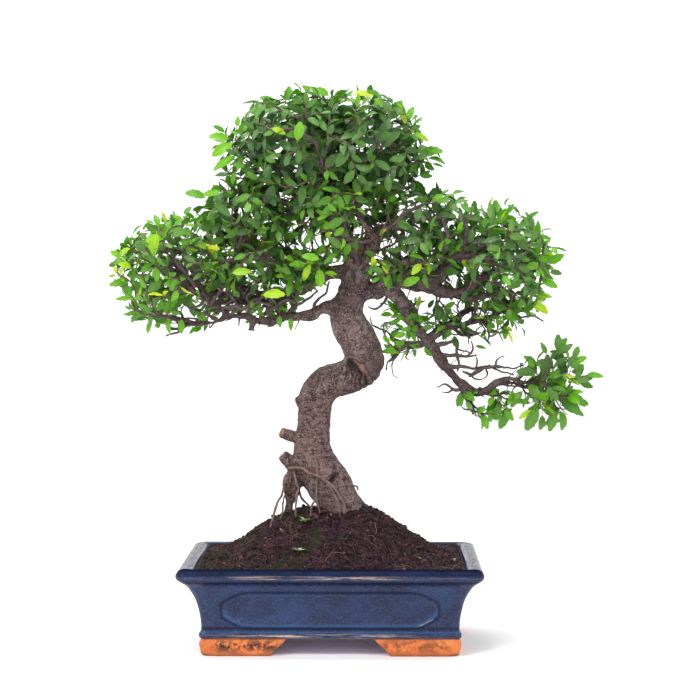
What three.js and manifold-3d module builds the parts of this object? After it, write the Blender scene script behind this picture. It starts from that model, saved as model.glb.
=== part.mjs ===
// Chinese elm bonsai with an S-shaped trunk, in a glazed rectangular pot on four clay feet.
// Millimetres, +Z up, the front towards -Y. Everything is worked out about the pot's centre on
// the ground. The last lines move the whole so that the origin is the middle of its ground box.
import * as THREE from "three";
import { mergeVertices } from "three/addons/utils/BufferGeometryUtils.js";
import Module from "manifold-3d";

const wasm = await Module();
wasm.setup();

// Pot
const POT_LENGTH = 310;
const POT_DEPTH = 230;
const POT_HEIGHT = 90;
const FOOT_HEIGHT = 18;
const FOOT_LENGTH = 88;
const FOOT_DEPTH = 64;
const FOOT_WIDTH = 16;
const FOOT_SLANT = 19;
const FLOOR_TOP = 26;
const BODY_INSET = 24;
const PANEL_DEPTH = 2;
const PANEL_BOTTOM = 28;
const PANEL_TOP = 66;
const PANEL_HALF_LENGTH = 110;
const PANEL_HALF_DEPTH = 68;
const PANEL_CHAMFER = 21;
const DRAIN_RADIUS = 10;
const DRAIN_X = 62;
const MESH_SIZE = 34;
const MESH_THICK = 1.2;
const MESH_HOLES = 2;
const MESH_BAR = 4;

// Soil
const SOIL_EDGE = 87.5;
const MOUND_RISE = 53;
const MOUND_REACH = 95;
const MOUND_X = -2;
const SOIL_LUMPS = 1.3;

// Wood and leaves
const GAP = 0.3;
const LEAF_LENGTH = [31, 38];
const LEAF_SLENDER = 0.56;
const LEAF_THICK = 1.3;
const LEAF_FOLD = 1.4;
const LEAF_DROOP = 2;
const LEAF_TRIES = 6;
const LEAF_STAND = [0.25, 0.75];
const LOWEST_FACE = -0.82;
const LEAF_SHARE = 0.67;
const CORE_SCALES = [0.69, 0.64, 0.6, 0.56, 0.52];
const SHELL_DEPTH = 0.78;
const SHORTEST_TWIG = 24;
const TWIG_PITCH = 7;
const BARE_SHARE = 0.25;
const WHOLE_TRIES = 6;
// Half of a leaf's toothed outline, as [share of its length, share of its half width].
const LEAF_EDGE = [[0.3, 0.92], [0.4, 0.8], [0.66, 0.86]];
const LEAF_FOOT = 2.2;
const LEAF_ANGLE = [0.85, 1.15];
const THICK_LIMB = 7;
const TWIG_RADIUS = 1.4;
const TWIG_TIP = 0.8;
const MAIN_LEAVES = [0.4, 0.56, 0.71, 0.86, 1];
const SIDE_TWIGS = [[0.44, 1], [0.62, -1]];
const SIDE_LENGTH = [24, 32];
const SIDE_LEAVES = [0.55, 1];
const SEED = 7;

const LOOKS = {
  glaze: { color: "#2d4264", roughness: 0.25, metalness: 0 },
  soil: { color: "#35271f", roughness: 1, metalness: 0 },
  mesh: { color: "#1b1b1b", roughness: 0.6, metalness: 0 },
  bark: { color: "#7c6c5b", roughness: 0.9, metalness: 0 },
  leaf: { color: "#4c7d26", roughness: 0.5, metalness: 0 },
};

// The pot's outside from its foot to the top of the rim, as [inset from the rim's edge, height].
const OUTSIDE = [
  [BODY_INSET + 1, FOOT_HEIGHT],
  [BODY_INSET - 1.8, 20],
  [BODY_INSET - 1.8, 23.5],
  [BODY_INSET, 26],
  [BODY_INSET - 0.4, 36],
  [21.4, 48],
  [17.8, 60],
  [10.5, 72],
  [1.6, 79.5],
  [0, 82],
  [0, 86.5],
  [2.2, POT_HEIGHT],
];
// The inside from the rim down to the floor.
const INSIDE = [
  [15.5, POT_HEIGHT],
  [17, 87.5],
  [20, 76],
  [28, 56],
  [32.5, 38],
  [34, FLOOR_TOP],
];

// Tree: each row is [x, y, z, radius], from the thick end to the thin one.
const TRUNK = [
  [9, 0, 112, 30],
  [7, 0, 136, 26],
  [3, 0, 154, 24],
  [-5, 0, 168, 24.5],
  [-15, 0, 184, 22.5],
  [-20, 1, 198, 20.5],
  [-20, 3, 212, 18.5],
  [-19, 5, 226, 17.5],
  [-18, 7, 241, 17],
  [-16, 8, 254, 17.5],
  [-9, 9, 267, 17.5],
  [3, 9, 275, 17.5],
  [18, 8, 280, 17.5],
  [31, 6, 289, 18],
  [34, 4, 303, 18.5],
  [29, 1, 317, 18.5],
  [21, -2, 331, 18.5],
  [17, -4, 345, 18],
  [19, -5, 359, 17],
  [24, -5, 375, 15.5],
  [26, -4, 390, 15],
  [21, -2, 405, 12.5],
  [14, 0, 421, 9],
  [9, 2, 442, 7.5],
  [4, 3, 462, 6.5],
  [-1, 3, 483, 5],
  [-4, 2, 504, 3.8],
  [-6, 0, 536, 2],
];
const BURLS = [
  [[-29, 3, 212, 5.5], [-40, 2, 216, 5.5], [-53, 0, 219, 5]],
  [[-33, 0, 183, 7.5], [-43, -2, 191, 6.5], [-49, -3, 196, 5.5]],
  [[-29, 8, 254, 5], [-37, 7, 252, 3.5]],
  [[25, -8, 383, 8.5], [34, -12, 387, 8], [37, -12, 397, 5.5]],
];
const ROOTS = [
  [
    [-28, 0, 184, 8.5], [-35, -3, 174, 7], [-37, -4, 163, 5.5], [-39, -5, 153, 3.5],
    [-46, -7, 141, 3], [-53, -9, 124, 2.5],
  ],
  [
    [-33, -2, 182, 7], [-45, -8, 173, 5], [-47, -9, 163, 4.5], [-45, -9, 152, 3.5],
    [-44, -8, 141, 3.5], [-44, -7, 124, 3],
  ],
  [[14, 2, 164, 10], [29, 4, 148, 8], [43, 6, 137, 6], [60, 8, 122, 3.5]],
  [[-42, -6, 178, 2.5], [-50, -16, 162, 1.7], [-55, -20, 144, 1.6], [-61, -24, 122, 1.5]],
  [[-36, -2, 172, 3], [-37, 2, 152, 2], [-30, -1, 141, 1.8], [-22, -5, 126, 1.6]],
  [
    [-40, -6, 180, 2.6], [-30, -20, 177, 2.2], [-17, -26, 173, 2.2], [-6, -27, 168, 2.2],
    [4, -28, 158, 2.1], [12, -31, 140, 2], [13, -34, 122, 1.8],
  ],
  [
    [-18, -17, 196, 2.2], [-16, -23, 186, 1.8], [-16, -27, 172, 1.7], [-18, -27, 154, 1.7],
    [-23, -26, 124, 1.5],
  ],
];
const LIMBS = {
  left_low: [
    [8, -2, 352, 10], [-12, -8, 348, 6.3], [-43, -17, 341, 5.2], [-82, -26, 339, 4],
    [-116, -31, 342, 2.9], [-146, -30, 350, 2],
  ],
  left_main: [
    [20, -2, 392, 10], [-1, 3, 388, 8.5], [-30, 10, 373, 7], [-63, 17, 359, 6.3],
    [-110, 23, 360, 4.5], [-159, 26, 382, 3], [-205, 25, 402, 1.4],
  ],
  left_back: [
    [21, 4, 400, 8], [0, 24, 406, 6], [-50, 50, 416, 4.6], [-110, 62, 424, 2.9],
    [-148, 52, 416, 2],
  ],
  left_front: [
    [19, -10, 398, 8], [5, -30, 402, 5.8], [-30, -58, 407, 4.4], [-75, -70, 406, 2.9],
    [-108, -58, 400, 2],
  ],
  left_shoulder: [[10, 0, 436, 6], [-12, -8, 447, 4.4], [-53, -20, 460, 3], [-93, -22, 470, 1.4]],
  right_main: [
    [20, -4, 366, 13], [42, -6, 366, 9.2], [66, -9, 376, 7.8], [100, -13, 371, 6.2],
    [140, -18, 369, 4.8], [171, -22, 388, 3.4], [215, -22, 402, 1.4],
  ],
  right_rise: [[88, -11, 374, 6.2], [108, -22, 389, 5], [134, -36, 403, 3.6], [162, -36, 414, 2.4]],
  right_back: [
    [25, 0, 389, 10], [45, 20, 398, 6.8], [85, 48, 412, 5.2], [126, 58, 420, 3.4],
    [160, 48, 418, 2.2],
  ],
  right_upper: [
    [19, -6, 402, 8], [36, -22, 417, 5.2], [75, -50, 435, 4], [98, -54, 440, 2.8],
    [116, -48, 440, 2.2],
  ],
  right_front: [
    [26, -10, 375, 8], [42, -30, 383, 5.6], [85, -64, 397, 4], [130, -66, 404, 2.8],
    [158, -52, 404, 2.2],
  ],
  cascade: [
    [56, -8, 374, 8], [68, 0, 361, 8], [86, 7, 335, 7], [108, 9, 305, 6.3], [130, 4, 277, 5.4],
    [143, 1, 255, 3.8], [149, -1, 238, 2.4],
  ],
  cascade_end: [
    [132, 3, 273, 5.4], [156, -4, 260, 4.6], [180, -11, 277, 3.3], [212, -15, 274, 2.2],
    [243, -16, 283, 1.4],
  ],
  cascade_low: [[171, -9, 273, 3], [199, 2, 267, 2.1], [229, 12, 254, 1.3]],
  cascade_right: [
    [100, 9, 316, 5.5], [124, 22, 328, 4.2], [159, 34, 335, 3.3], [201, 40, 329, 1.4],
  ],
  cascade_back: [[122, 21, 327, 4], [138, 27, 345, 3], [183, 37, 346, 2.1], [212, 40, 344, 1.3]],
  cascade_left: [[104, 9, 313, 4], [84, 18, 310, 2.8], [59, 32, 295, 1.4]],
  apex_left: [[7, 3, 446, 6], [-9, 8, 465, 3.9], [-55, 14, 494, 2.6], [-98, 10, 515, 1.3]],
  apex_right: [[4, 2, 456, 5.6], [23, -5, 475, 3.8], [65, -13, 502, 2.4], [94, -14, 516, 1.3]],
  apex_front: [[3, 2, 464, 5], [0, -24, 478, 3.4], [-12, -56, 507, 2.1], [-20, -72, 524, 1.3]],
  apex_back: [[6, 5, 452, 5], [13, 27, 469, 3.4], [20, 52, 500, 2.3], [19, 72, 534, 1.3]],
};

// Foliage in pads, each given as its centre and half sizes. These are dense heads of leaves.
const DENSE_PADS = [
  { name: "apex_left", at: [-53, 0, 522], half: [66, 96, 64] },
  { name: "apex_right", at: [37, 0, 527], half: [74, 96, 66] },
  { name: "shoulder", at: [-88, -6, 447], half: [54, 84, 40] },
  { name: "left_outer", at: [-169, 0, 387], half: [66, 106, 58] },
  { name: "left_inner", at: [-84, -4, 384], half: [58, 106, 50] },
  { name: "middle", at: [8, -12, 442], half: [56, 96, 38] },
  { name: "right_inner", at: [94, -4, 424], half: [60, 104, 48] },
  { name: "right_outer", at: [176, -4, 402], half: [64, 106, 56] },
];
// These are loose pads, where a few leafy sprays grow from the limbs named.
const LOOSE_PADS = [
  {
    name: "right_low",
    at: [164, 30, 338],
    half: [60, 46, 24],
    limbs: ["cascade_right", "cascade_back"],
    sprays: 3,
  },
  { name: "inner_low", at: [76, 26, 326], half: [28, 30, 32], limbs: ["cascade_left"], sprays: 1 },
  {
    name: "cascade_tip",
    at: [234, -4, 270],
    half: [36, 46, 44],
    limbs: ["cascade_end", "cascade_low"],
    sprays: 4,
  },
];

const random = (function mulberry32(seed) {
  let state = seed;
  return () => {
    state = (state + 0x6d2b79f5) | 0;
    let t = Math.imul(state ^ (state >>> 15), 1 | state);
    t = (t + Math.imul(t ^ (t >>> 7), 61 | t)) ^ t;
    return ((t ^ (t >>> 14)) >>> 0) / 4294967296;
  };
})(SEED);
const between = (low, high) => low + (high - low) * random();
const vector = (row) => new THREE.Vector3(row[0], row[1], row[2]);

// A closed geometry as a solid for cutting and joining.
function solidOf(geometry) {
  const bare = new THREE.BufferGeometry();
  bare.setAttribute("position", geometry.getAttribute("position"));
  bare.setIndex(geometry.getIndex());
  const merged = mergeVertices(bare, 1e-3);
  return new wasm.Manifold(
    new wasm.Mesh({
      numProp: 3,
      vertProperties: new Float32Array(merged.attributes.position.array),
      triVerts: new Uint32Array(merged.index.array),
    }),
  );
}

// A solid as a geometry with flat faces.
function geometryOf(solid) {
  const mesh = solid.getMesh();
  const indexed = new THREE.BufferGeometry();
  const places = new Float32Array(mesh.vertProperties);
  indexed.setAttribute("position", new THREE.BufferAttribute(places, 3));
  indexed.setIndex(new THREE.BufferAttribute(new Uint32Array(mesh.triVerts), 1));
  const flat = indexed.toNonIndexed();
  flat.computeVertexNormals();
  return flat;
}

const joined = (solids) => solids.reduce((whole, solid) => whole.add(solid));

// The largest of the separate bodies in a solid: a scrap cut loose is dropped.
const largest = (solid) =>
  solid.decompose().reduce((best, body) => (body.volume() > best.volume() ? body : best));

// Closed rings of equally many points, joined one to the next and closed at both ends.
function loft(rings) {
  const count = rings[0].length;
  const points = rings.flat();
  const faces = [];
  for (let ring = 0; ring + 1 < rings.length; ring++)
    for (let i = 0; i < count; i++) {
      const a = ring * count + i;
      const b = ring * count + ((i + 1) % count);
      faces.push(a, b, b + count, a, b + count, a + count);
    }
  for (const [ring, turn] of [[0, 1], [rings.length - 1, 0]]) {
    const middle = points.length;
    const sum = rings[ring].reduce((total, p) => total.add(p), new THREE.Vector3());
    points.push(sum.divideScalar(count));
    for (let i = 0; i < count; i++) {
      const a = ring * count + i;
      const b = ring * count + ((i + 1) % count);
      faces.push(middle, turn ? b : a, turn ? a : b);
    }
  }
  const geometry = new THREE.BufferGeometry().setFromPoints(points);
  geometry.setIndex(faces);
  return solidOf(geometry);
}

// A rectangle with round corners, anticlockwise seen from above, with extra points on its sides.
function roundedRing(inset, z, corner, extraLong = 0, extraShort = 0, steps = 2) {
  const halfX = POT_LENGTH / 2 - inset - corner;
  const halfY = POT_DEPTH / 2 - inset - corner;
  const ring = [];
  const corners = [[1, 1], [-1, 1], [-1, -1], [1, -1]];
  corners.forEach(([sx, sy], quarter) => {
    for (let i = 0; i <= steps; i++) {
      const angle = ((quarter + i / steps) * Math.PI) / 2;
      const [x, y] = [sx * halfX + corner * Math.cos(angle), sy * halfY + corner * Math.sin(angle)];
      ring.push(new THREE.Vector3(x, y, z));
    }
    const extra = quarter % 2 ? extraShort : extraLong;
    const from = ring[ring.length - 1];
    const next = corners[(quarter + 1) % 4];
    const start = ((quarter + 1) * Math.PI) / 2;
    const to = new THREE.Vector3(
      next[0] * halfX + corner * Math.cos(start),
      next[1] * halfY + corner * Math.sin(start),
      z,
    );
    for (let i = 1; i <= extra; i++) ring.push(from.clone().lerp(to, i / (extra + 1)));
  });
  return ring;
}

const cornerAt = (inset) => Math.max(3, 9 - inset * 0.15);

// The sunk panel's outline: a long octagon with soft corners.
function panelShape(halfLength) {
  const middle = (PANEL_BOTTOM + PANEL_TOP) / 2;
  const high = (PANEL_TOP - PANEL_BOTTOM) / 2;
  const long = halfLength - PANEL_CHAMFER;
  const short = high * 0.4;
  const shape = new THREE.Shape();
  shape.moveTo(-long, middle - high);
  for (const [sx, sy] of [[1, -1], [1, 1], [-1, 1], [-1, -1]]) {
    const flat = [sx * long, middle + sy * high];
    const end = [sx * halfLength, middle + sy * short];
    const [from, to] = sx * sy < 0 ? [flat, end] : [end, flat];
    shape.lineTo(...from);
    shape.quadraticCurveTo(sx * (halfLength - 3), middle + sy * high * 0.9, ...to);
  }
  return shape;
}

// A prism right through the pot, less the body that is left under the panel's floor.
function panelCutter(halfLength, alongX) {
  const reach = alongX ? POT_LENGTH : POT_DEPTH;
  const prism = new THREE.ExtrudeGeometry(panelShape(halfLength), {
    depth: reach,
    bevelEnabled: false,
    curveSegments: 3,
  });
  prism.rotateX(Math.PI / 2);
  prism.translate(0, reach / 2, 0);
  if (alongX) prism.rotateZ(Math.PI / 2);
  const left = loft(
    OUTSIDE.slice(2, 9).map(([inset, z]) => roundedRing(inset + PANEL_DEPTH, z, cornerAt(inset))),
  );
  return solidOf(prism).subtract(left);
}

// One side of a foot: a bar whose inner end slants in towards the ground.
function footBar(length, depth) {
  const shape = new THREE.Shape();
  shape.moveTo(-3, 0);
  shape.lineTo(FOOT_SLANT - length, 0);
  shape.lineTo(-length, FOOT_HEIGHT + 2);
  shape.lineTo(0, FOOT_HEIGHT + 2);
  shape.lineTo(0, 3);
  const bar = new THREE.ExtrudeGeometry(shape, { depth, bevelEnabled: false });
  bar.rotateX(Math.PI / 2);
  return bar;
}

// A foot: two bars meeting at a corner of the pot, mirrored to each corner.
function foot(sideX, sideY) {
  const x = POT_LENGTH / 2 - BODY_INSET - 0.5;
  const y = POT_DEPTH / 2 - BODY_INSET - 0.5;
  const long = solidOf(footBar(FOOT_LENGTH, FOOT_WIDTH).translate(x, y, 0));
  const short = solidOf(
    footBar(FOOT_DEPTH, FOOT_WIDTH).rotateZ(Math.PI / 2).translate(x - FOOT_WIDTH, y, 0),
  );
  const corner = long.add(short);
  const placed = sideX < 0 ? corner.mirror([1, 0, 0]) : corner;
  return sideY < 0 ? placed.mirror([0, 1, 0]) : placed;
}

function drainHole(x) {
  const drill = new THREE.CylinderGeometry(DRAIN_RADIUS, DRAIN_RADIUS, 40, 12);
  return solidOf(drill.rotateX(Math.PI / 2).translate(x, 0, 20));
}

function makePot() {
  const rings = [...OUTSIDE, ...INSIDE].map(([inset, z]) => roundedRing(inset, z, cornerAt(inset)));
  let pot = loft(rings);
  for (const side of [[1, 1], [-1, 1], [-1, -1], [1, -1]]) pot = pot.add(foot(...side));
  pot = pot.subtract(panelCutter(PANEL_HALF_LENGTH, false));
  pot = pot.subtract(panelCutter(PANEL_HALF_DEPTH, true));
  return pot.subtract(drainHole(DRAIN_X)).subtract(drainHole(-DRAIN_X));
}

const boxAt = (long, deep, high, x, y, z) =>
  solidOf(new THREE.BoxGeometry(long, deep, high).translate(x, y, z));

// A square of plastic mesh that lies over a drainage hole.
function makeMesh(x) {
  const z = FLOOR_TOP + GAP + MESH_THICK / 2;
  const pitch = (MESH_SIZE - MESH_BAR) / MESH_HOLES;
  let plate = boxAt(MESH_SIZE, MESH_SIZE, MESH_THICK, x, 0, z);
  for (let row = 0; row < MESH_HOLES; row++)
    for (let column = 0; column < MESH_HOLES; column++) {
      const [across, along] = [column, row].map((i) => (i - (MESH_HOLES - 1) / 2) * pitch);
      plate = plate.subtract(boxAt(pitch - MESH_BAR, pitch - MESH_BAR, 4, x + across, along, z));
    }
  return plate;
}

// The height of the soil: level at the pot's edge, with a mound under the tree.
function soilHeight(x, y) {
  const away = Math.hypot(x - MOUND_X, (y * POT_LENGTH) / POT_DEPTH) / MOUND_REACH;
  return SOIL_EDGE + MOUND_RISE * Math.exp(-(away ** 3));
}

function makeSoil(standing) {
  const [extraLong, extraShort] = [3, 2];
  const wall = INSIDE.slice(1)
    .reverse()
    .map(([inset, z]) =>
      roundedRing(inset + GAP, z + (z === FLOOR_TOP ? GAP : 0), cornerAt(inset), extraLong, extraShort),
    );
  const edge = wall[wall.length - 1];
  edge.forEach((p) => (p.z = SOIL_EDGE - 1));
  const top = [0.92, 0.77, 0.62, 0.48, 0.34, 0.18].map((share) =>
    edge.map((p) => {
      const x = p.x * share;
      const y = p.y * share;
      return new THREE.Vector3(x, y, soilHeight(x, y) + between(-SOIL_LUMPS, SOIL_LUMPS));
    }),
  );
  let soil = loft([...wall, ...top]);
  const room = MESH_SIZE + 2 * GAP;
  const high = 2 * (MESH_THICK + 2 * GAP);
  for (const x of [DRAIN_X, -DRAIN_X]) soil = soil.subtract(boxAt(room, room, high, x, 0, FLOOR_TOP));
  return largest(soil.subtract(standing));
}

// A row's radius at a share of a curve's length.
function radiusAt(rows, curve, share) {
  const place = curve.getUtoTmapping(share) * (rows.length - 1);
  const row = Math.min(rows.length - 2, Math.floor(place));
  return THREE.MathUtils.lerp(rows[row][3], rows[row + 1][3], place - row);
}

const curveOf = (rows) => new THREE.CatmullRomCurve3(rows.map(vector), false, "centripetal");

// A round tube along rows of [x, y, z, radius], made larger all over by grow.
function tube(rows, sides, spacing, grow = 0) {
  const curve = curveOf(rows);
  const steps = Math.max(2, Math.round(curve.getLength() / spacing));
  const frames = curve.computeFrenetFrames(steps);
  const rings = [];
  for (let i = 0; i <= steps; i++) {
    const radius = grow + radiusAt(rows, curve, i / steps);
    const centre = curve.getPointAt(i / steps);
    if (i === 0) centre.addScaledVector(frames.tangents[i], -grow);
    if (i === steps) centre.addScaledVector(frames.tangents[i], grow);
    const ring = [];
    for (let side = 0; side < sides; side++) {
      const angle = (side / sides) * 2 * Math.PI;
      ring.push(
        centre
          .clone()
          .addScaledVector(frames.normals[i], radius * Math.cos(angle))
          .addScaledVector(frames.binormals[i], radius * Math.sin(angle)),
      );
    }
    rings.push(ring);
  }
  return loft(rings);
}

// The wood that grew as one, as tubes that cross each other: first what meets the soil.
const trunkAndRoots = (grow) => [
  tube(TRUNK, 11, 17, grow),
  ...BURLS.map((rows) => tube(rows, 6, 10, grow)),
  ...ROOTS.map((rows) => tube(rows, 5, 17, grow)),
];
const limbTubes = (grow) =>
  Object.values(LIMBS).map((rows) => tube(rows, rows[0][3] > THICK_LIMB ? 5 : 4, 32, grow));

// Points along a limb where a twig may start: all but its thick end.
function limbPoints(name) {
  const curve = curveOf(LIMBS[name]);
  const steps = Math.round(curve.getLength() / TWIG_PITCH);
  return Array.from({ length: steps + 1 }, (_, i) => i / steps)
    .filter((share) => share > BARE_SHARE)
    .map((share) => curve.getPointAt(share));
}

// Where a loose pad's sprays reach to: spread evenly through its outer shell, but not on its underside.
function sprayTips(pad) {
  const [a, b] = [0.7548776662, 0.5698402910];
  return Array.from({ length: pad.sprays }, (_, i) => {
    const turn = 2 * Math.PI * ((0.5 + i * a) % 1);
    const lift = 1 - 1.6 * ((0.5 + i * b) % 1);
    const flat = Math.sqrt(Math.max(0, 1 - lift * lift));
    return new THREE.Vector3(
      pad.at[0] + pad.half[0] * SHELL_DEPTH * flat * Math.cos(turn),
      pad.at[1] + pad.half[1] * SHELL_DEPTH * flat * Math.sin(turn),
      pad.at[2] + pad.half[2] * SHELL_DEPTH * lift,
    );
  });
}

// The way a leaf's upper face looks at a place in a pad: up and outwards, never quite alike.
function facing(pad, at, stray) {
  const out = new THREE.Vector3(...[at.x, at.y, at.z].map((v, i) => (v - pad.at[i]) / pad.half[i]));
  const turned = [0, 1, 2].map(() => between(-stray, stray));
  return out.add(new THREE.Vector3(...turned)).add(new THREE.Vector3(0, 0, 0.35)).normalize();
}

// A solid less all that it crosses, in one piece.
function cutClear(solid, others) {
  const crossed = others.filter((other) => crosses(solid, [other]));
  return largest(crossed.reduce((rest, other) => rest.subtract(other), solid)).asOriginal();
}

// Whether a solid stays one whole body once its points are rounded.
function staysWhole(solid) {
  const bodies = solidOf(geometryOf(solid)).decompose();
  return bodies.length === 1 && bodies[0].volume() > 0;
}

// The points of a toothed blade but for its base: both edges, the tip and the two sides of the rib.
function bladePoints({ base, along, normal, length }, swell = 0) {
  const across = new THREE.Vector3().crossVectors(normal, along).normalize();
  const up = new THREE.Vector3().crossVectors(along, across).normalize();
  const halfWidth = (length * LEAF_SLENDER) / 2;
  const thick = LEAF_THICK / 2 + swell;
  const place = (share, side, rise) =>
    base
      .clone()
      .addScaledVector(along, share * length)
      .addScaledVector(across, side)
      .addScaledVector(up, rise - LEAF_DROOP * share * share);
  const edge = (side) =>
    LEAF_EDGE.map(([share, half]) =>
      place(share, side * (half * halfWidth + swell), LEAF_FOLD * half),
    );
  const tip = place(1 + swell / length, 0, 0);
  const points = [...edge(1), ...edge(-1), tip, place(0.5, 0, thick), place(0.5, 0, -thick)];
  const foot = [[0, thick], [-1, 0], [0, -thick], [1, 0]];
  return { points, foot: foot.map(([side, rise]) => place(0, side * thick, rise)) };
}

// A blade's faces. Its foot is four points, anticlockwise seen from the tip, the upper one first.
function bladeFaces(foot, first) {
  const [top, minus, low, plus] = foot;
  const count = LEAF_EDGE.length;
  const [tip, topRib, lowRib] = [0, 1, 2].map((i) => first + 2 * count + i);
  const faces = [];
  const fan = (rib, start, side, offset, turn) => {
    const border = [start, side, ...LEAF_EDGE.map((_, i) => first + offset + i), tip];
    for (let i = 1; i < border.length; i++) {
      const pair = turn ? [border[i], border[i - 1]] : [border[i - 1], border[i]];
      if (pair[0] !== pair[1]) faces.push(rib, ...pair);
    }
  };
  fan(topRib, top, plus, 0, true);
  fan(topRib, top, minus, count, false);
  fan(lowRib, low, plus, 0, false);
  fan(lowRib, low, minus, count, true);
  return faces;
}

// A blade by itself, for trying whether it is clear.
function loneBlade(leaf, swell) {
  const { points, foot } = bladePoints(leaf, swell);
  const geometry = new THREE.BufferGeometry().setFromPoints([...foot, ...points]);
  geometry.setIndex([...bladeFaces([0, 1, 2, 3], 4), 0, 3, 2, 0, 2, 1]);
  return solidOf(geometry);
}

// Whether a solid crosses any of the others.
function crosses(solid, others) {
  const { min, max } = solid.boundingBox();
  return others.some((other) => {
    const box = other.boundingBox();
    if ([0, 1, 2].some((i) => box.min[i] > max[i] || box.max[i] < min[i])) return false;
    const shared = solid.intersect(other);
    const empty = shared.isEmpty();
    shared.delete();
    return !empty;
  });
}

// A twig's own directions at a share of its length: along it, to its right, and up.
function twigFrame(curve, share, up) {
  const along = curve.getTangentAt(share);
  const right = new THREE.Vector3().crossVectors(along, up).normalize();
  const above = new THREE.Vector3().crossVectors(right, along);
  return { at: curve.getPointAt(share), along, right, up: above };
}

// A three-sided twig, ridge upwards, with its leaves grown out of its sides and its end.
function leafyTwig({ curve, up, thick }, leaves) {
  const points = [];
  const faces = [];
  const half = LEAF_FOOT / 2 / curve.getLength();
  const addRing = (share) => {
    const frame = twigFrame(curve, share, up);
    const radius = THREE.MathUtils.lerp(thick, TWIG_TIP, share);
    for (const angle of [0, 1, 2].map((i) => (i * 2 * Math.PI) / 3)) {
      const out = frame.up.clone().multiplyScalar(Math.cos(angle));
      out.addScaledVector(frame.right, Math.sin(angle));
      points.push(frame.at.clone().addScaledVector(out, radius));
    }
    return points.length - 3;
  };
  const addWalls = (a, b, bare) => {
    for (let i = 0; i < 3; i++) {
      const next = (i + 1) % 3;
      if (i !== bare) faces.push(a + i, a + next, b + next, a + i, b + next, b + i);
    }
  };
  const grow = (leaf, foot) => {
    faces.push(...bladeFaces(foot, points.length));
    points.push(...bladePoints(leaf).points);
  };
  let last = addRing(0);
  faces.push(last, last + 2, last + 1);
  for (const leaf of leaves.filter(({ side }) => side !== 0)) {
    const a = addRing(leaf.share - half);
    const b = addRing(leaf.share + half);
    addWalls(last, a, null);
    addWalls(a, b, leaf.side > 0 ? 0 : 2);
    grow(leaf, leaf.side > 0 ? [a, a + 1, b + 1, b] : [a, b, b + 2, a + 2]);
    last = b;
  }
  const end = addRing(1);
  addWalls(last, end, null);
  const endLeaf = leaves.find(({ side }) => side === 0);
  if (endLeaf) grow(endLeaf, [end, end + 1, end + 2, end + 2]);
  else faces.push(end, end + 1, end + 2);
  const geometry = new THREE.BufferGeometry().setFromPoints(points);
  geometry.setIndex(faces);
  return solidOf(geometry);
}

// A leaf at a share of a twig, turned this way and that until it is clear, or none.
function clearLeaf(pad, { curve, up, thick }, share, side, others) {
  const frame = twigFrame(curve, share, up);
  const radius = THREE.MathUtils.lerp(thick, TWIG_TIP, share);
  for (let attempt = 0; attempt < LEAF_TRIES; attempt++) {
    const out = frame.right.clone().multiplyScalar(side);
    out.addScaledVector(frame.up, between(0.1, 0.6)).normalize();
    const angle = side === 0 ? between(-0.1, 0.1) : between(...LEAF_ANGLE);
    const along = frame.along.clone().multiplyScalar(Math.cos(angle));
    along.addScaledVector(out, Math.sin(angle));
    const normal = frame.up.clone().addScaledVector(facing(pad, frame.at, 0.4), 0.8).normalize();
    const base = frame.at.clone().addScaledVector(out, side === 0 ? 0 : radius / 2);
    const leaf = { share, side, base, along, normal, length: between(...LEAF_LENGTH) };
    const swollen = loneBlade(leaf, GAP);
    const blocked = crosses(swollen, others);
    swollen.delete();
    if (!blocked) return leaf;
  }
  return null;
}

// A twig from start to end that ends in the direction heading.
function twigCurve(start, heading, end) {
  const bend = end.clone().addScaledVector(heading, -start.distanceTo(end) * 0.5);
  return new THREE.QuadraticBezierCurve3(start, bend, end);
}

// A bare tube round a twig, from one share of its length on.
function twigTube(curve, thick, from) {
  const rows = [0, 1, 2, 3].map((i) => {
    const share = from + ((1 - from) * i) / 3;
    const at = curve.getPointAt(share);
    return [at.x, at.y, at.z, THREE.MathUtils.lerp(thick, TWIG_TIP, share)];
  });
  return tube(rows, 4, 15, GAP);
}

// A main twig that grows from one of the points, is clear of all else and ends along its pad's surface.
function clearTwig(pad, points, tip, placed, wood) {
  const cost = (p) => p.distanceTo(tip) + Math.max(0, p.z - tip.z) * 0.8;
  const near = points.filter((p) => p.distanceTo(tip) > SHORTEST_TWIG);
  const starts = near.sort((p, q) => cost(p) - cost(q)).slice(0, 12);
  const out = facing(pad, tip, 0);
  for (const start of starts)
    for (let attempt = 0; attempt < 3; attempt++) {
      const stray = new THREE.Vector3(between(-0.4, 0.4), between(-0.4, 0.4), between(-0.3, 0.5));
      const heading = tip.clone().sub(start).normalize().add(stray);
      heading.addScaledVector(out, -0.8 * heading.dot(out)).normalize();
      const curve = twigCurve(start, heading, tip);
      const clear = !crosses(twigTube(curve, TWIG_RADIUS, 0), placed);
      if (clear && !crosses(twigTube(curve, TWIG_RADIUS, 0.35), wood)) return curve;
    }
  return null;
}

// The twigs of a spray: the main one and those of its side twigs that are clear.
function twigsOf(pad, curve, others) {
  const up = facing(pad, curve.getPointAt(0.6), 0.1);
  const twigs = [{ curve, up, thick: TWIG_RADIUS, shares: MAIN_LEAVES }];
  for (const [share, side] of SIDE_TWIGS) {
    const { at, along, right } = twigFrame(curve, share, up);
    const angle = between(0.75, 1);
    const heading = along.clone().multiplyScalar(Math.cos(angle));
    heading.addScaledVector(right, side * Math.sin(angle));
    const end = at.clone().addScaledVector(heading, between(...SIDE_LENGTH));
    end.addScaledVector(up, between(-4, 6));
    const thick = TWIG_RADIUS * 0.8;
    const sideCurve = twigCurve(at, heading, end);
    if (!crosses(twigTube(sideCurve, thick, 0.1), others))
      twigs.push({ curve: sideCurve, up, thick, shares: SIDE_LEAVES });
  }
  return twigs;
}

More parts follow.
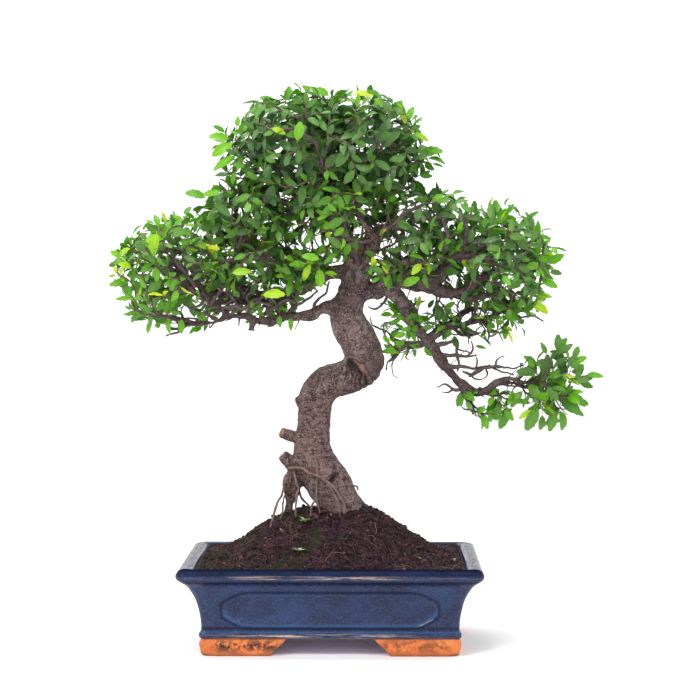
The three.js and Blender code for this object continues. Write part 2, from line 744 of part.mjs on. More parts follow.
// A leafy spray that ends about a tip, as one solid that stands clear of all others.
function makeSpray(pad, tip, points, placed, wood) {
  const main = clearTwig(pad, points, tip, placed, wood);
  if (!main) return null;
  const others = [...placed, ...wood];
  const blades = [];
  const parts = twigsOf(pad, main, others).map((twig) => {
    const leaves = [];
    twig.shares.forEach((share, i) => {
      const side = share === 1 ? 0 : i % 2 ? 1 : -1;
      const leaf = clearLeaf(pad, twig, share, side, [...others, ...blades]);
      if (!leaf) return;
      leaves.push(leaf);
      blades.push(loneBlade(leaf, 0));
    });
    return leafyTwig(twig, leaves);
  });
  return cutClear(joined(parts), others);
}

// The dense inner part of a pad: a crumpled ball, smaller than the pad, cut clear of the wood.
function headCore(pad, cores, wood) {
  const ball = new THREE.IcosahedronGeometry(1, 1).deleteAttribute("normal").deleteAttribute("uv");
  const crumpled = mergeVertices(ball);
  const points = crumpled.getAttribute("position");
  for (let i = 0; i < points.count; i++) {
    const size = between(0.85, 1.15);
    points.setXYZ(i, points.getX(i) * size, points.getY(i) * size, points.getZ(i) * size);
  }
  for (const scale of CORE_SCALES) {
    const sizes = pad.half.map((half) => half * scale);
    const core = solidOf(crumpled.clone().scale(...sizes).translate(...pad.at));
    if (!crosses(core, cores)) return cutClear(core, wood);
  }
  throw new Error(`the core of ${pad.name} has no room`);
}

// A leaf that stands out of a core's face, turned until it is clear, or none on a small or low face.
function leafOnFace(corners, others, core) {
  const face = new THREE.Triangle(...corners);
  const out = face.getNormal(new THREE.Vector3());
  const base = face.getMidpoint(new THREE.Vector3());
  const around = corners.reduce((sum, p, i) => sum + p.distanceTo(corners[(i + 1) % 3]), 0);
  const inCircle = (2 * face.getArea()) / around;
  if (inCircle < 1.5 * LEAF_FOOT || out.z < LOWEST_FACE || random() > LEAF_SHARE) return null;
  for (let attempt = 0; attempt < LEAF_TRIES; attempt++) {
    const stray = new THREE.Vector3(between(-1, 1), between(-1, 1), between(-1, 1));
    const flat = stray.cross(out).normalize();
    const angle = between(...LEAF_STAND);
    const along = flat.clone().multiplyScalar(Math.cos(angle)).addScaledVector(out, Math.sin(angle));
    const normal = out.clone().multiplyScalar(Math.cos(angle)).addScaledVector(flat, -Math.sin(angle));
    const leaf = { base, along, normal, flat, out, length: between(...LEAF_LENGTH) };
    const lifted = { ...leaf, base: base.clone().addScaledVector(along, 3) };
    if (crosses(loneBlade(lifted, 0), [core])) continue;
    if (!crosses(loneBlade(leaf, GAP), others)) return leaf;
  }
  return null;
}

// A dense head of leaves: a core with a leaf grown out of each of its faces that has room for one.
function makeHead(core, obstacles) {
  const { vertProperties, triVerts } = core.getMesh();
  const points = [];
  for (let i = 0; i < vertProperties.length; i += 3)
    points.push(new THREE.Vector3().fromArray(vertProperties, i));
  const faces = [];
  const others = [...obstacles];
  for (let i = 0; i < triVerts.length; i += 3) {
    const ring = [triVerts[i], triVerts[i + 1], triVerts[i + 2]];
    const corners = ring.map((index) => points[index]);
    const leaf = leafOnFace(corners, others, core);
    if (!leaf) {
      faces.push(...ring);
      continue;
    }
    others.push(loneBlade(leaf, 0));
    const across = new THREE.Vector3().crossVectors(leaf.out, leaf.flat);
    const foot = [[-1, 0], [0.5, -1], [0.5, 1]].map(([ahead, side]) =>
      leaf.base
        .clone()
        .addScaledVector(leaf.flat, (ahead * LEAF_FOOT) / 2)
        .addScaledVector(across, (side * LEAF_FOOT) / 2),
    );
    const apart = (turn) =>
      corners.reduce((sum, corner, j) => sum + corner.distanceTo(foot[(j + turn) % 3]), 0);
    const turn = [0, 1, 2].reduce((best, k) => (apart(k) < apart(best) ? k : best));
    const first = points.length;
    for (let j = 0; j < 3; j++) {
      const [a, b] = [ring[j], ring[(j + 1) % 3]];
      const [c, d] = [first + ((j + 1 + turn) % 3), first + ((j + turn) % 3)];
      faces.push(a, b, c, a, c, d);
    }
    faces.push(...bladeFaces([first, first + 1, first + 2, first + 2], first + 3));
    points.push(...foot, ...bladePoints(leaf).points);
  }
  const geometry = new THREE.BufferGeometry().setFromPoints(points);
  geometry.setIndex(faces);
  return solidOf(geometry);
}

const group = new THREE.Group();
function addPart(name, solid, look) {
  const part = new THREE.Mesh(geometryOf(solid), new THREE.MeshStandardMaterial(look));
  part.name = name;
  group.add(part);
}

const grownFoot = trunkAndRoots(GAP);
const grownWood = [...grownFoot, ...limbTubes(GAP)];
addPart("pot", makePot(), LOOKS.glaze);
addPart("soil", makeSoil(joined(grownFoot)), LOOKS.soil);
addPart("drainage_mesh_left", makeMesh(-DRAIN_X), LOOKS.mesh);
addPart("drainage_mesh_right", makeMesh(DRAIN_X), LOOKS.mesh);
addPart("trunk", joined([...trunkAndRoots(0), ...limbTubes(0)]), LOOKS.bark);

const placed = [];
function addLeaves(name, make) {
  for (let attempt = 0; attempt < WHOLE_TRIES; attempt++) {
    const leaves = make();
    if (!leaves || !staysWhole(leaves)) continue;
    placed.push(leaves);
    addPart(name, leaves, LOOKS.leaf);
    return;
  }
}
const cores = [];
for (const pad of DENSE_PADS) cores.push(headCore(pad, cores, grownWood));
DENSE_PADS.forEach(({ name }, i) => {
  const otherCores = cores.filter((core) => core !== cores[i]);
  addLeaves(`head_${name}`, () => makeHead(cores[i], [...placed, ...otherCores, ...grownWood]));
});
for (const pad of LOOSE_PADS) {
  const points = pad.limbs.flatMap(limbPoints);
  sprayTips(pad).forEach((tip, i) =>
    addLeaves(`spray_${pad.name}_${i + 1}`, () => makeSpray(pad, tip, points, placed, grownWood)),
  );
}

// The origin: the middle of the ground box, on the surface that the feet stand on.
const box = new THREE.Box3().setFromObject(group);
const centre = box.getCenter(new THREE.Vector3());
group.position.set(-centre.x, -centre.y, -box.min.z);

export default group;
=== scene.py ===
# Looks of a chinese elm bonsai in a glazed pot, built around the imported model.
# Lengths are millimetres about the pot's centre on the ground, with the front towards -Y. Shape.piece
# turns them into metres in the part's own frame.
import math
from itertools import product

import bpy
import numpy as np
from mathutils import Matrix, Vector


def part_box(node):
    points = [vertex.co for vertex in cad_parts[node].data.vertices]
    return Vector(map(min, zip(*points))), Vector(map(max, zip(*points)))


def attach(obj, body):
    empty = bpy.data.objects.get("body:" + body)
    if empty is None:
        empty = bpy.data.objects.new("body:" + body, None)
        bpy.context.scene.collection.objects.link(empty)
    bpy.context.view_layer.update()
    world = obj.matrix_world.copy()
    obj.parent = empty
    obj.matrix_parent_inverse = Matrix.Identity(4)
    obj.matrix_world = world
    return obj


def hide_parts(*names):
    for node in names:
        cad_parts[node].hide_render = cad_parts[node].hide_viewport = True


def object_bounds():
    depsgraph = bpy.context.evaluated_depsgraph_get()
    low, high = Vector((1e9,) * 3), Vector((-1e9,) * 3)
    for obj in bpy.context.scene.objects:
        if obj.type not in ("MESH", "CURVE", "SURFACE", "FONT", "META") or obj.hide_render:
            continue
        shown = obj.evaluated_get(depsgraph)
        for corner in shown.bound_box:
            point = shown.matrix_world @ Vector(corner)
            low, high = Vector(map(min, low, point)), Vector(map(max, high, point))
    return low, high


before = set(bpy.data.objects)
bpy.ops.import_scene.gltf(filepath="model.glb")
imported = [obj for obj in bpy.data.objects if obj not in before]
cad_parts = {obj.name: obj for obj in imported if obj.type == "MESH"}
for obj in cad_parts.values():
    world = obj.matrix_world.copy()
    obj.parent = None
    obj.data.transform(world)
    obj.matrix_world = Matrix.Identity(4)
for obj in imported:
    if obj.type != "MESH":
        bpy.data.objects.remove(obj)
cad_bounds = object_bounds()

MM = 0.001
pot_low, pot_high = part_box("pot")
POT_CENTRE = np.array([(pot_low.x + pot_high.x) / 2, (pot_low.y + pot_high.y) / 2, pot_low.z])
BOX_LOW, BOX_HIGH = [(np.array(corner) - POT_CENTRE) / MM for corner in cad_bounds]
# How far inside the part's box the leaves stay.
BOX_ROOM = 0.6

CAMERA_PLACE = [44, -2140, 392]
CAMERA_PAN = 0.67
CAMERA_PITCH = 2.31
FOCAL_PIXELS = 2047
PICTURE_PIXELS = 700
# Lamps, in metres and watts: place, size and power. All look at one place.
LAMPS = {
    "key": [(-1.1, -1.5, 1.8), 1.0, 34],
    "top": [(-0.18, -0.2, 1.8), 0.25, 9],
    "back": [(-0.5, 1.5, 1.8), 1.2, 14],
    "right": [(1.2, -1.5, 1.7), 0.3, 11],
}
LIT_PLACE = (0, 0, 0.3)
GROUND_REACH = 4000

# Pot, as in the solids.
POT_LENGTH = 310
POT_DEPTH = 230
POT_HEIGHT = 90
FOOT_HEIGHT = 18
FOOT_LENGTH = 88
FOOT_DEPTH = 64
FOOT_WIDTH = 16
FOOT_SLANT = 19
FLOOR_TOP = 26
BODY_INSET = 24
PANEL_DEPTH = 2
PANEL_MIDDLE = 47
PANEL_HALF_HEIGHT = 19
PANEL_HALF_LENGTH = 110
PANEL_HALF_DEPTH = 68
PANEL_CHAMFER = 21
DRAIN_RADIUS = 10
DRAIN_X = 62
# From the feet up to the rim, as [inset from the rim's edge, height].
OUTSIDE = [
    [BODY_INSET + 1, 18], [BODY_INSET - 1.4, 18.6], [BODY_INSET - 2, 20.6], [BODY_INSET - 1.9, 23],
    [BODY_INSET - 0.8, 24.6], [BODY_INSET, 26.6], [BODY_INSET - 0.4, 36], [21.4, 48], [17.8, 60],
    [10.5, 72], [3.4, 77.6], [0.8, 80.2], [0, 82.4], [0.2, 84.6], [1.4, 87], [4, 88.9], [8, 90],
]
INSIDE = [[11, 90], [15, 89.2], [17.2, 86], [20, 76], [28, 56], [32.5, 38], [34, FLOOR_TOP]]

LIP_WIDTH = 17
LIP_BOTTOM = 85.5
# Bands of the glaze: [inset, height], how far they spread, how strong they are and the mark they raise.
# The worn bands are the glaze's own wear, the dark ones painted shade under the lip, above the bead and on
# the lip's top, and the one on the bead's top a painted highlight.
WORN, PAINTED_HIGHLIGHT, PAINTED_SHADE = 0, 1, 2
GLAZE_BANDS = [
    [[0, 82.8], 1.3, 1.0, WORN], [[22, 20.8], 1.7, 1.0, WORN], [[4, 77], 4.0, 0.9, PAINTED_SHADE],
    [[0.6, 86], 2.6, 0.85, PAINTED_SHADE], [[24, 28.4], 1.4, 0.8, PAINTED_SHADE], [[22.9, 24.6], 0.9, 0.4, PAINTED_HIGHLIGHT],
    [[8, 90], 7, 1.1, PAINTED_SHADE],
]

# Soil: its mound, how far its top ends from the rim's edge, and what lies on it.
SOIL_EDGE = 87.5
SOIL_GAP = 0.3
SOIL_INSET = 19
SOIL_HALF = np.array([POT_LENGTH, POT_DEPTH]) / 2 - SOIL_INSET
MOUND_RISE = 53
MOUND_REACH = 95
MOUND_X = -2
CRUMBS = 4200
FIBRES = 760
TUFTS = 1500
# Seedlings: x, y and the length of their leaves.
SEEDLINGS = [[-27, -40, 9], [-33, -72, 7], [92, -60, 4], [14, -62, 4]]

# Tree: each row is [x, y, z, radius], from the thick end to the thin one.
TRUNK = [
    [10, 0, 112, 27], [8, 0, 138, 24], [4, 0, 152, 22.5], [-4, 0, 166, 24], [-15, 0, 184, 22.5],
    [-20, 1, 198, 20.5], [-20, 3, 212, 18.5], [-19, 5, 226, 17.5], [-18, 7, 241, 17],
    [-16, 8, 254, 17.8], [-9, 9, 267, 18], [4, 9, 274, 18.5], [20, 8, 279, 19.5],
    [32, 6, 288, 21.5], [33, 4, 302, 21], [27, 1, 317, 20], [18, -2, 332, 19.2],
    [15.5, -4, 345, 17.5], [19, -5, 359, 15.8], [24, -5, 375, 15], [26, -4, 390, 14.5],
    [22, -2, 405, 11], [14, 0, 421, 8], [9, 2, 442, 6.8], [4, 3, 462, 5.8], [-1, 3, 483, 4.6],
    [-4, 2, 504, 3.8], [-6, 0, 536, 2],
]
LEADER_ROWS = 7
ROOT_SLIM = 0.82
TWIG_STOUT = 1.25
BURLS = [
    [[-26, 2, 211, 6], [-40, -4, 215, 5.6], [-53, -10, 220, 5.6]],
    [[-30, 0, 178, 9], [-43, -2, 187, 7.4], [-52, -4, 196, 5.8]],
    [[-29, 8, 254, 6], [-38, 6, 251, 4.2]],
    [[25, -8, 381, 9], [36, -14, 386, 7.5], [42, -16, 391, 5]],
    [[24, -6, 392, 9], [33, -15, 399, 6.5], [37, -18, 406, 4.5]],
    [[24, -4, 398, 9], [18, -16, 404, 6], [16, -20, 409, 4.5]],
    [[18, -2, 365, 12], [10, -14, 371, 6]],
]
ROOTS = [
    [
        [-28, 0, 184, 8.5], [-35, -3, 174, 7], [-37, -4, 163, 5.5], [-39, -5, 153, 3.5],
        [-46, -7, 141, 3], [-53, -9, 124, 2.5],
    ],
    [
        [-33, -2, 182, 7], [-45, -8, 173, 5], [-47, -9, 163, 4.5], [-45, -9, 152, 3.5],
        [-44, -8, 141, 3.5], [-44, -7, 124, 3],
    ],
    [[14, 2, 156, 10], [29, 4, 140, 8], [43, 6, 128, 6], [60, 8, 114, 3.5]],
]
# The knee's middle and the inside of its bend, the folds as [direction, depth], and a scar on it.
KNEE = np.array([34, -4, 293])
ELBOW = np.array([10, 297])
FOLDS = [[-88, 0.9], [-73, 1.3], [-60, 1.5], [-48, 1.9], [-37, 2.4], [-27, 2.4], [-15, 1.3], [0, 0.8]]
LENS = [32, 287]
CRACK = [1, 173]
# Sawn and torn faces: their place, radius, the width of their edge and how fresh they look.
CUTS = [[[-54.5, -13, 221], 4, 2, 0.6], [[-3.5, -9, 221], 2.2, 1, 0.8], [[28, -16, 409], 4, 2, 0.6]]
FINE_ROOTS = [
    [
        [-44, -8, 179, 1.6], [-49, -15, 168, 1.7], [-52, -18, 156, 1.5], [-57, -21, 145, 1.5],
        [-61, -24, 134, 1.4], [-63, -26, 122, 1.3],
    ],
    [
        [-40, -8, 181, 1.8], [-37, -16, 174, 1.7], [-35, -19, 164, 1.6], [-36, -21, 152, 1.6],
        [-37, -22, 138, 1.5], [-37, -22, 122, 1.4],
    ],
    [
        [-36, -2, 166, 1.8], [-34, -2, 155, 1.7], [-29, -3, 147, 1.7], [-19, -5, 136, 1.6],
        [-16, -6, 122, 1.5],
    ],
    [
        [-45, -9, 183, 2], [-33, -19, 183, 2], [-20, -25, 178, 2.1], [-8, -26, 172, 2.2],
        [2, -25, 165, 2.2], [9, -27, 155, 2.1], [13, -28, 144, 2], [14, -30, 122, 1.8],
    ],
    [[-4, -25, 169, 1.6], [3, -26, 158, 1.4], [8, -28, 146, 1.3], [11, -30, 122, 1.2]],
    [
        [-18, -18, 198, 1.2], [-16, -22, 192, 1.7], [-15, -24, 180, 1.7], [-15, -25, 168, 1.6],
        [-16, -25, 154, 1.5], [-21, -25, 142, 1.4], [-22, -25, 122, 1.3],
    ],
    [[-16, -25, 156, 1.3], [-14, -24, 147, 1.2], [-12, -24, 136, 1.1], [-12, -24, 122, 1]],
    [[-1, -23, 165, 1.2], [10, -22, 165, 1.1], [19, -17, 165, 1.1], [26, -7, 163, 1.1], [27, 0, 159, 1]],
    [[-43, -7, 160, 1.2], [-50, -12, 152, 1.2], [-51, -15, 140, 1.1], [-56, -18, 122, 1]],
]
BARE_TWIGS = [
    [[98, 9, 314, 2.2], [78, 12, 311, 1.5], [66, 10, 298, 1.1], [58, 8, 291, 0.8], [57, 8, 284, 0.6]],
    [[66, 10, 298, 0.8], [63, 9, 289, 0.6], [65, 7, 279, 0.5], [69, 6, 276, 0.4]],
    [[78, 12, 311, 0.9], [80, 10, 303, 0.7], [77, 8, 298, 0.6], [81, 7, 295, 0.4]],
    [[84, 18, 311, 1.6], [68, 16, 316, 1.2], [54, 14, 326, 0.9], [42, 12, 332, 0.7], [40, 10, 341, 0.4]],
    [[60, -2, 368, 1.6], [55, -4, 356, 1.2], [45, -6, 349, 0.9], [38, -8, 351, 0.6]],
    [[66, 0, 362, 1.4], [72, -4, 350, 1.1], [80, -6, 349, 0.8], [88, -8, 354, 0.5]],
    [[138, 2, 264, 1.8], [128, -2, 265, 1.3], [119, -4, 270, 0.9], [110, -5, 267, 0.5]],
    [[128, -2, 265, 1], [122, -5, 261, 0.8], [115, -6, 262, 0.5]],
    [[112, 8, 300, 2.4], [121, 4, 300, 1.8], [131, 2, 300, 1.6], [142, 0, 299, 1.3], [151, -1, 301, 0.8]],
    [[131, 2, 300, 1.3], [130, 0, 308, 1], [132, -1, 314, 0.6]],
    [[131, 2, 300, 1.3], [133, 3, 291, 1.1], [131, 3, 283, 0.7]],
    [[143, 0, 299, 1.2], [148, 2, 308, 0.9], [146, 3, 315, 0.6]],
    [[121, 5, 289, 2], [135, 4, 288, 1.6], [150, 3, 287, 1.3], [163, 2, 289, 1], [176, 0, 287, 0.6]],
    [[150, 3, 287, 1.1], [152, 1, 295, 0.8], [149, 0, 301, 0.5]],
    [[160, 2, 288, 1], [163, 4, 281, 0.8], [160, 5, 276, 0.5]],
    [
        [142, -1, 278, 1.8], [156, -3, 285, 1.5], [170, -6, 289, 1.2], [186, -8, 287, 0.9],
        [200, -9, 290, 0.6],
    ],
    [[170, -6, 289, 1], [174, -8, 297, 0.7], [180, -9, 300, 0.4]],
    [[157, -4, 261, 1.7], [170, -1, 258, 1.3], [182, 2, 260, 1], [193, 3, 254, 0.6]],
    [[148, -1, 246, 1.2], [142, -4, 243, 0.9], [137, -6, 246, 0.5]],
    [[127, 22, 330, 1.8], [136, 20, 322, 1.4], [147, 17, 321, 1.1], [157, 15, 324, 0.6]],
    [[160, 34, 335, 1.6], [166, 30, 324, 1.2], [164, 26, 315, 0.7]],
    [[150, 31, 334, 1.4], [148, 28, 345, 1], [153, 25, 352, 0.6]],
    [[-80, -25, 340, 3.4], [-82, -27, 331, 3], [-83, -27, 326, 2.6]],
    [[-46, -17, 343, 2], [-38, -24, 352, 1.6], [-26, -28, 358, 1.3], [-14, -30, 368, 0.9]],
    [[-20, -10, 348, 1.8], [-16, -20, 357, 1.3], [-5, -26, 366, 1], [-2, -28, 378, 0.7]],
    [[28, -20, 396, 2.4], [24, -34, 408, 2], [14, -46, 414, 1.5], [6, -54, 424, 1]],
    [[22, -14, 392, 1.8], [22, -24, 380, 1.4], [25, -28, 372, 1]],
    [[36, -14, 398, 2.2], [46, -24, 408, 1.7], [60, -32, 414, 1.3], [74, -38, 424, 0.9]],
    [[44, -10, 376, 2.4], [52, -20, 386, 1.8], [66, -28, 392, 1.4], [80, -32, 402, 1]],
    [[126, 16, 330, 1.6], [134, 8, 341, 1.2], [131, 2, 352, 0.8], [136, 0, 360, 0.5]],
    [[142, 18, 333, 1.5], [150, 10, 344, 1.1], [148, 4, 354, 0.7]],
    [[156, 20, 336, 1.5], [166, 12, 328, 1.1], [176, 8, 322, 0.7], [180, 6, 314, 0.4]],
    [[170, 21, 340, 1.3], [176, 14, 352, 1], [172, 8, 362, 0.6]],
    [[185, 22, 345, 1.3], [196, 16, 340, 1], [210, 12, 341, 0.7], [222, 10, 336, 0.4]],
    [[106, 8, 312, 2.2], [118, 4, 312, 1.8], [132, 2, 316, 1.2]],
    [[138, 17, 332, 1.1], [144, 12, 320, 0.8], [143, 10, 312, 0.5]],
    [[118, 12, 328, 1.3], [112, 4, 342, 0.9], [118, 0, 354, 0.6]],
    [[-60, -20, 338, 1.8], [-66, -26, 349, 1.4], [-62, -32, 360, 1], [-66, -36, 368, 0.6]],
    [[-90, -26, 339, 1.8], [-82, -32, 350, 1.4], [-86, -38, 362, 1], [-80, -42, 370, 0.6]],
    [[-118, -30, 338, 1.8], [-128, -36, 346, 1.4], [-126, -42, 358, 1], [-132, -46, 366, 0.6]],
    [[-150, -32, 332, 1.4], [-158, -36, 326, 1.1], [-170, -38, 322, 0.7]],
    [[-105, -30, 341, 1.6], [-98, -36, 352, 1.2], [-104, -42, 364, 0.8]],
    [[-138, -38, 374, 1.8], [-150, -46, 368, 1.4], [-162, -50, 372, 1], [-170, -52, 366, 0.6]],
    [[-150, -42, 378, 1.6], [-146, -50, 390, 1.2], [-152, -54, 402, 0.8]],
    [[-130, -36, 364, 1.8], [-134, -46, 354, 1.3], [-146, -50, 350, 0.9]],
    [[131, 3, 307, 1], [139, 2, 304, 0.8], [147, 1, 302, 0.6]],
    [[137, 3, 283, 1.2], [146, 1, 278, 1], [154, -1, 274, 0.7], [160, -2, 277, 0.5]],
    [[163, -2, 290, 1.2], [176, -5, 284, 1], [190, -8, 280, 0.7]],
    [[165, -4, 266, 1.6], [178, -6, 270, 1.2], [192, -9, 268, 0.8]],
    [[172, -6, 262, 1.1], [180, -4, 256, 0.8], [188, -2, 254, 0.5]],
    [[205, -12, 272, 1.6], [222, -18, 262, 1.3], [240, -22, 258, 1.1], [256, -24, 262, 0.8]],
    [[224, -20, 262, 1.2], [221, -24, 276, 1], [226, -22, 290, 0.7]],
    [[-138, -44, 372, 1.8], [-150, -50, 388, 1.5], [-162, -54, 404, 1.2], [-170, -56, 418, 0.8]],
    [[-132, -40, 378, 1.8], [-142, -48, 394, 1.4], [-150, -54, 410, 1]],
    [[-146, -44, 366, 1.6], [-160, -50, 376, 1.4], [-176, -54, 392, 1.1], [-184, -56, 402, 0.7]],
    [
        [-118, -28, 346, 2], [-104, -36, 352, 1.7], [-88, -40, 350, 1.5], [-74, -44, 356, 1.2],
        [-60, -46, 352, 0.8],
    ],
    [[-96, -26, 344, 2], [-84, -34, 356, 1.6], [-70, -40, 362, 1.3], [-58, -44, 372, 1]],
    [[-70, -20, 344, 2], [-58, -28, 352, 1.7], [-46, -34, 358, 1.3], [-34, -38, 356, 0.9]],
    [[-128, -34, 352, 1.7], [-116, -40, 364, 1.4], [-108, -44, 376, 1]],
    [[-52, -18, 346, 1.8], [-44, -26, 340, 1.3], [-34, -30, 344, 0.9]],
]
LIMBS = {
    "left_low": [
        [6, -2, 352, 10], [-12, -8, 347, 6], [-28, -13, 342, 5.6], [-43, -17, 341, 4.8],
        [-62, -22, 338, 4.3], [-82, -26, 338, 3.8], [-104, -29, 341, 3.2], [-122, -31, 338, 2.6],
        [-144, -31, 333, 2], [-167, -30, 329, 1.3],
    ],
    "left_main": [
        [22, -2, 388, 11], [1, 3, 387, 7.8], [-30, 10, 371, 6.6], [-63, 17, 358, 5.8],
        [-110, 23, 360, 4.5], [-159, 26, 382, 3], [-205, 25, 402, 1.4],
    ],
    "left_back": [
        [8, 3, 387, 6], [-16, 22, 392, 4.6], [-50, 40, 408, 3.8], [-110, 50, 422, 2.6],
        [-148, 44, 416, 1.8],
    ],
    "left_front": [
        [-28, 9, 372, 6], [-40, -12, 382, 4.2], [-58, -32, 396, 3.2], [-85, -46, 402, 2.2],
        [-112, -44, 398, 1.5],
    ],
    "left_middle": [
        [-62, 17, 358, 5], [-84, 2, 366, 3.6], [-112, -10, 378, 2.6], [-146, -16, 388, 1.8],
    ],
    "left_shoulder": [[10, 0, 436, 6], [-12, -8, 447, 4.4], [-53, -20, 460, 3], [-93, -22, 470, 1.4]],
    "right_main": [
        [20, -4, 366, 13], [42, -6, 366, 8.8], [66, -9, 376, 7.2], [100, -13, 371, 5.6],
        [140, -18, 369, 4.4], [171, -22, 388, 3.2], [215, -22, 402, 1.3],
    ],
    "right_rise": [[88, -11, 374, 6.2], [108, -22, 389, 5], [134, -36, 403, 3.6], [162, -36, 414, 2.4]],
    "left_rise": [
        [-106, -28, 341, 3.6], [-122, -33, 358, 3], [-142, -38, 378, 2.5], [-163, -42, 398, 2],
        [-174, -42, 415, 1.3],
    ],
    "left_fork": [
        [-66, 15, 358, 4.6], [-94, -18, 355, 3.4], [-122, -34, 357, 3], [-149, -42, 374, 2.5],
        [-170, -46, 396, 1.4],
    ],
    "left_tip": [[-140, -31, 334, 2.6], [-168, -38, 341, 2.3], [-198, -42, 354, 1.3]],
    "left_knot": [[-92, 20, 360, 4.6], [-100, -18, 388, 3.2], [-95, -40, 408, 2.5], [-88, -52, 426, 1.4]],
    "hub": [
        [26, -4, 396, 8], [38, -20, 410, 5.2], [45, -32, 416, 4.2], [31, -42, 440, 3],
        [25, -50, 470, 1.4],
    ],
    "hub_right": [[43, -29, 414, 4], [62, -42, 436, 3], [94, -54, 456, 1.4]],
    "hub_low": [
        [50, -7, 370, 4.8], [66, -28, 391, 3.8], [88, -42, 398, 3.2], [109, -50, 403, 2.7],
        [119, -56, 425, 2.2], [113, -58, 441, 1.3],
    ],
    "right_twist": [
        [98, -13, 371, 4.4], [118, -34, 391, 3.5], [132, -48, 402, 3.1], [151, -54, 404, 2.3],
        [172, -56, 398, 1.4],
    ],
    "front_rise": [[130, -46, 401, 3], [139, -58, 427, 2.3], [135, -62, 447, 1.3]],
    "right_back": [
        [40, -4, 367, 7], [56, 16, 382, 5], [85, 36, 404, 4], [126, 46, 418, 2.8],
        [160, 42, 418, 1.8],
    ],
    "right_upper": [
        [20, -4, 404, 7], [36, -16, 420, 4.2], [72, -34, 434, 3.2], [98, -42, 442, 2.3],
        [118, -40, 442, 1.6],
    ],
    "right_front": [
        [62, -9, 375, 6], [76, -26, 386, 4.2], [96, -42, 398, 3.2], [130, -50, 404, 2.3],
        [160, -44, 404, 1.6],
    ],
    "right_under": [
        [96, -12, 371, 5], [118, -8, 362, 3.6], [146, -4, 360, 2.8], [178, -2, 366, 1.8],
    ],
    "cascade": [
        [56, -8, 374, 8], [68, 0, 361, 7.6], [86, 7, 335, 6.2], [108, 9, 305, 5.2], [130, 4, 277, 4.7],
        [143, 1, 255, 3.8], [149, -1, 238, 2.4],
    ],
    "cascade_end": [
        [132, 3, 273, 4.6], [156, -4, 260, 3.9], [180, -11, 277, 3], [212, -15, 274, 2.2],
        [243, -16, 283, 1.4],
    ],
    "cascade_low": [[171, -9, 273, 3], [199, 2, 267, 2.1], [229, 12, 254, 1.3]],
    "cascade_right": [
        [100, 9, 318, 5.5], [126, 16, 330, 4.2], [156, 20, 336, 3.3], [185, 22, 345, 2.4],
        [209, 24, 349, 1.4],
    ],
    "cascade_back": [[122, 15, 328, 4], [138, 27, 345, 3], [183, 37, 346, 2.1], [212, 40, 344, 1.3]],
    "cascade_left": [[104, 9, 313, 4], [84, 18, 310, 2.8], [59, 32, 295, 1.4]],
    "apex_left": [[7, 3, 446, 6], [-9, 8, 465, 3.9], [-55, 14, 494, 2.6], [-98, 10, 515, 1.3]],
    "apex_right": [[4, 2, 456, 5.6], [23, -5, 475, 3.8], [65, -13, 502, 2.4], [94, -14, 516, 1.3]],
    "apex_front": [[3, 2, 464, 5], [0, -24, 478, 3.4], [-12, -56, 507, 2.1], [-20, -72, 524, 1.3]],
    "apex_back": [[6, 5, 452, 5], [13, 27, 469, 3.4], [20, 52, 500, 2.3], [19, 72, 534, 1.3]],
}
# Below this radius a limb is a piece apart from the trunk.
LIMB_END = 2.3
WOOD_VOXEL = 1.45
CLAY_VOXEL = 1.5

# Foliage pads: centre, half sizes, number of shoots, leaf lengths, the limbs that carry them, and the
# solids they replace.
PADS = {
    "apex_left": [
        [-44, 0, 516], [77, 84, 70], 235, [15, 24],
        ["leader", "apex_left", "apex_front", "apex_back"], ["head_apex_left"],
    ],
    "apex_right": [
        [33, 0, 516], [80, 84, 69], 240, [15, 24],
        ["leader", "apex_right", "apex_front", "apex_back"], ["head_apex_right"],
    ],
    "shoulder": [
        [-84, 0, 446], [60, 82, 42], 150, [15, 23],
        ["left_shoulder", "left_back", "left_front", "apex_left"], ["head_shoulder"],
    ],
    "left_outer": [
        [-158, 0, 388], [80, 88, 66], 235, [14, 23],
        [
            "left_main", "left_low", "left_back", "left_front", "left_middle", "left_rise", "left_fork",
            "left_tip",
        ],
        ["head_left_outer"],
    ],
    "left_inner": [
        [-76, 0, 388], [62, 88, 56], 165, [14, 23],
        [
            "left_main", "left_low", "left_back", "left_front", "left_middle", "left_fork", "left_knot",
        ],
        ["head_left_inner"],
    ],
    "middle": [
        [12, -6, 442], [64, 84, 46], 165, [15, 23],
        ["leader", "right_upper", "left_shoulder", "right_back", "left_back", "hub"],
        ["head_middle"],
    ],
    "right_inner": [
        [98, 0, 428], [64, 88, 52], 165, [15, 24],
        [
            "right_upper", "right_rise", "right_back", "right_front", "hub_right", "hub_low",
            "front_rise",
        ],
        ["head_right_inner"],
    ],
    "right_outer": [
        [172, 0, 398], [70, 88, 64], 215, [15, 24],
        ["right_main", "right_rise", "right_back", "right_front", "right_under", "right_twist"],
        ["head_right_outer"],
    ],
    "left_neck": [[-16, -24, 388], [28, 44, 24], 34, [14, 22], ["left_main", "left_back"], []],
    "right_neck": [[58, -26, 390], [30, 40, 22], 34, [13, 20], ["right_main", "right_back"], []],
    "right_low": [
        [152, 26, 338], [70, 44, 26], 34, [13, 20],
        ["cascade_right", "cascade_back"],
        ["spray_right_low_1", "spray_right_low_2", "spray_right_low_3"],
    ],
    "inner_low": [
        [76, 26, 328], [30, 30, 38], 26, [13, 20], ["cascade_left", "cascade"],
        ["spray_inner_low_1"],
    ],
    "inner_high": [
        [104, 8, 344], [36, 34, 20], 20, [13, 20], ["cascade", "right_under", "cascade_right"], [],
    ],
    "cascade_tip": [
        [230, -4, 272], [40, 38, 40], 38, [18, 28], ["cascade_end", "cascade_low"],
        ["spray_cascade_tip_1", "spray_cascade_tip_2", "spray_cascade_tip_3", "spray_cascade_tip_4"],
    ],
    "cascade_bend": [[164, 0, 250], [32, 24, 20], 14, [15, 22], ["cascade_end", "cascade"], []],
}
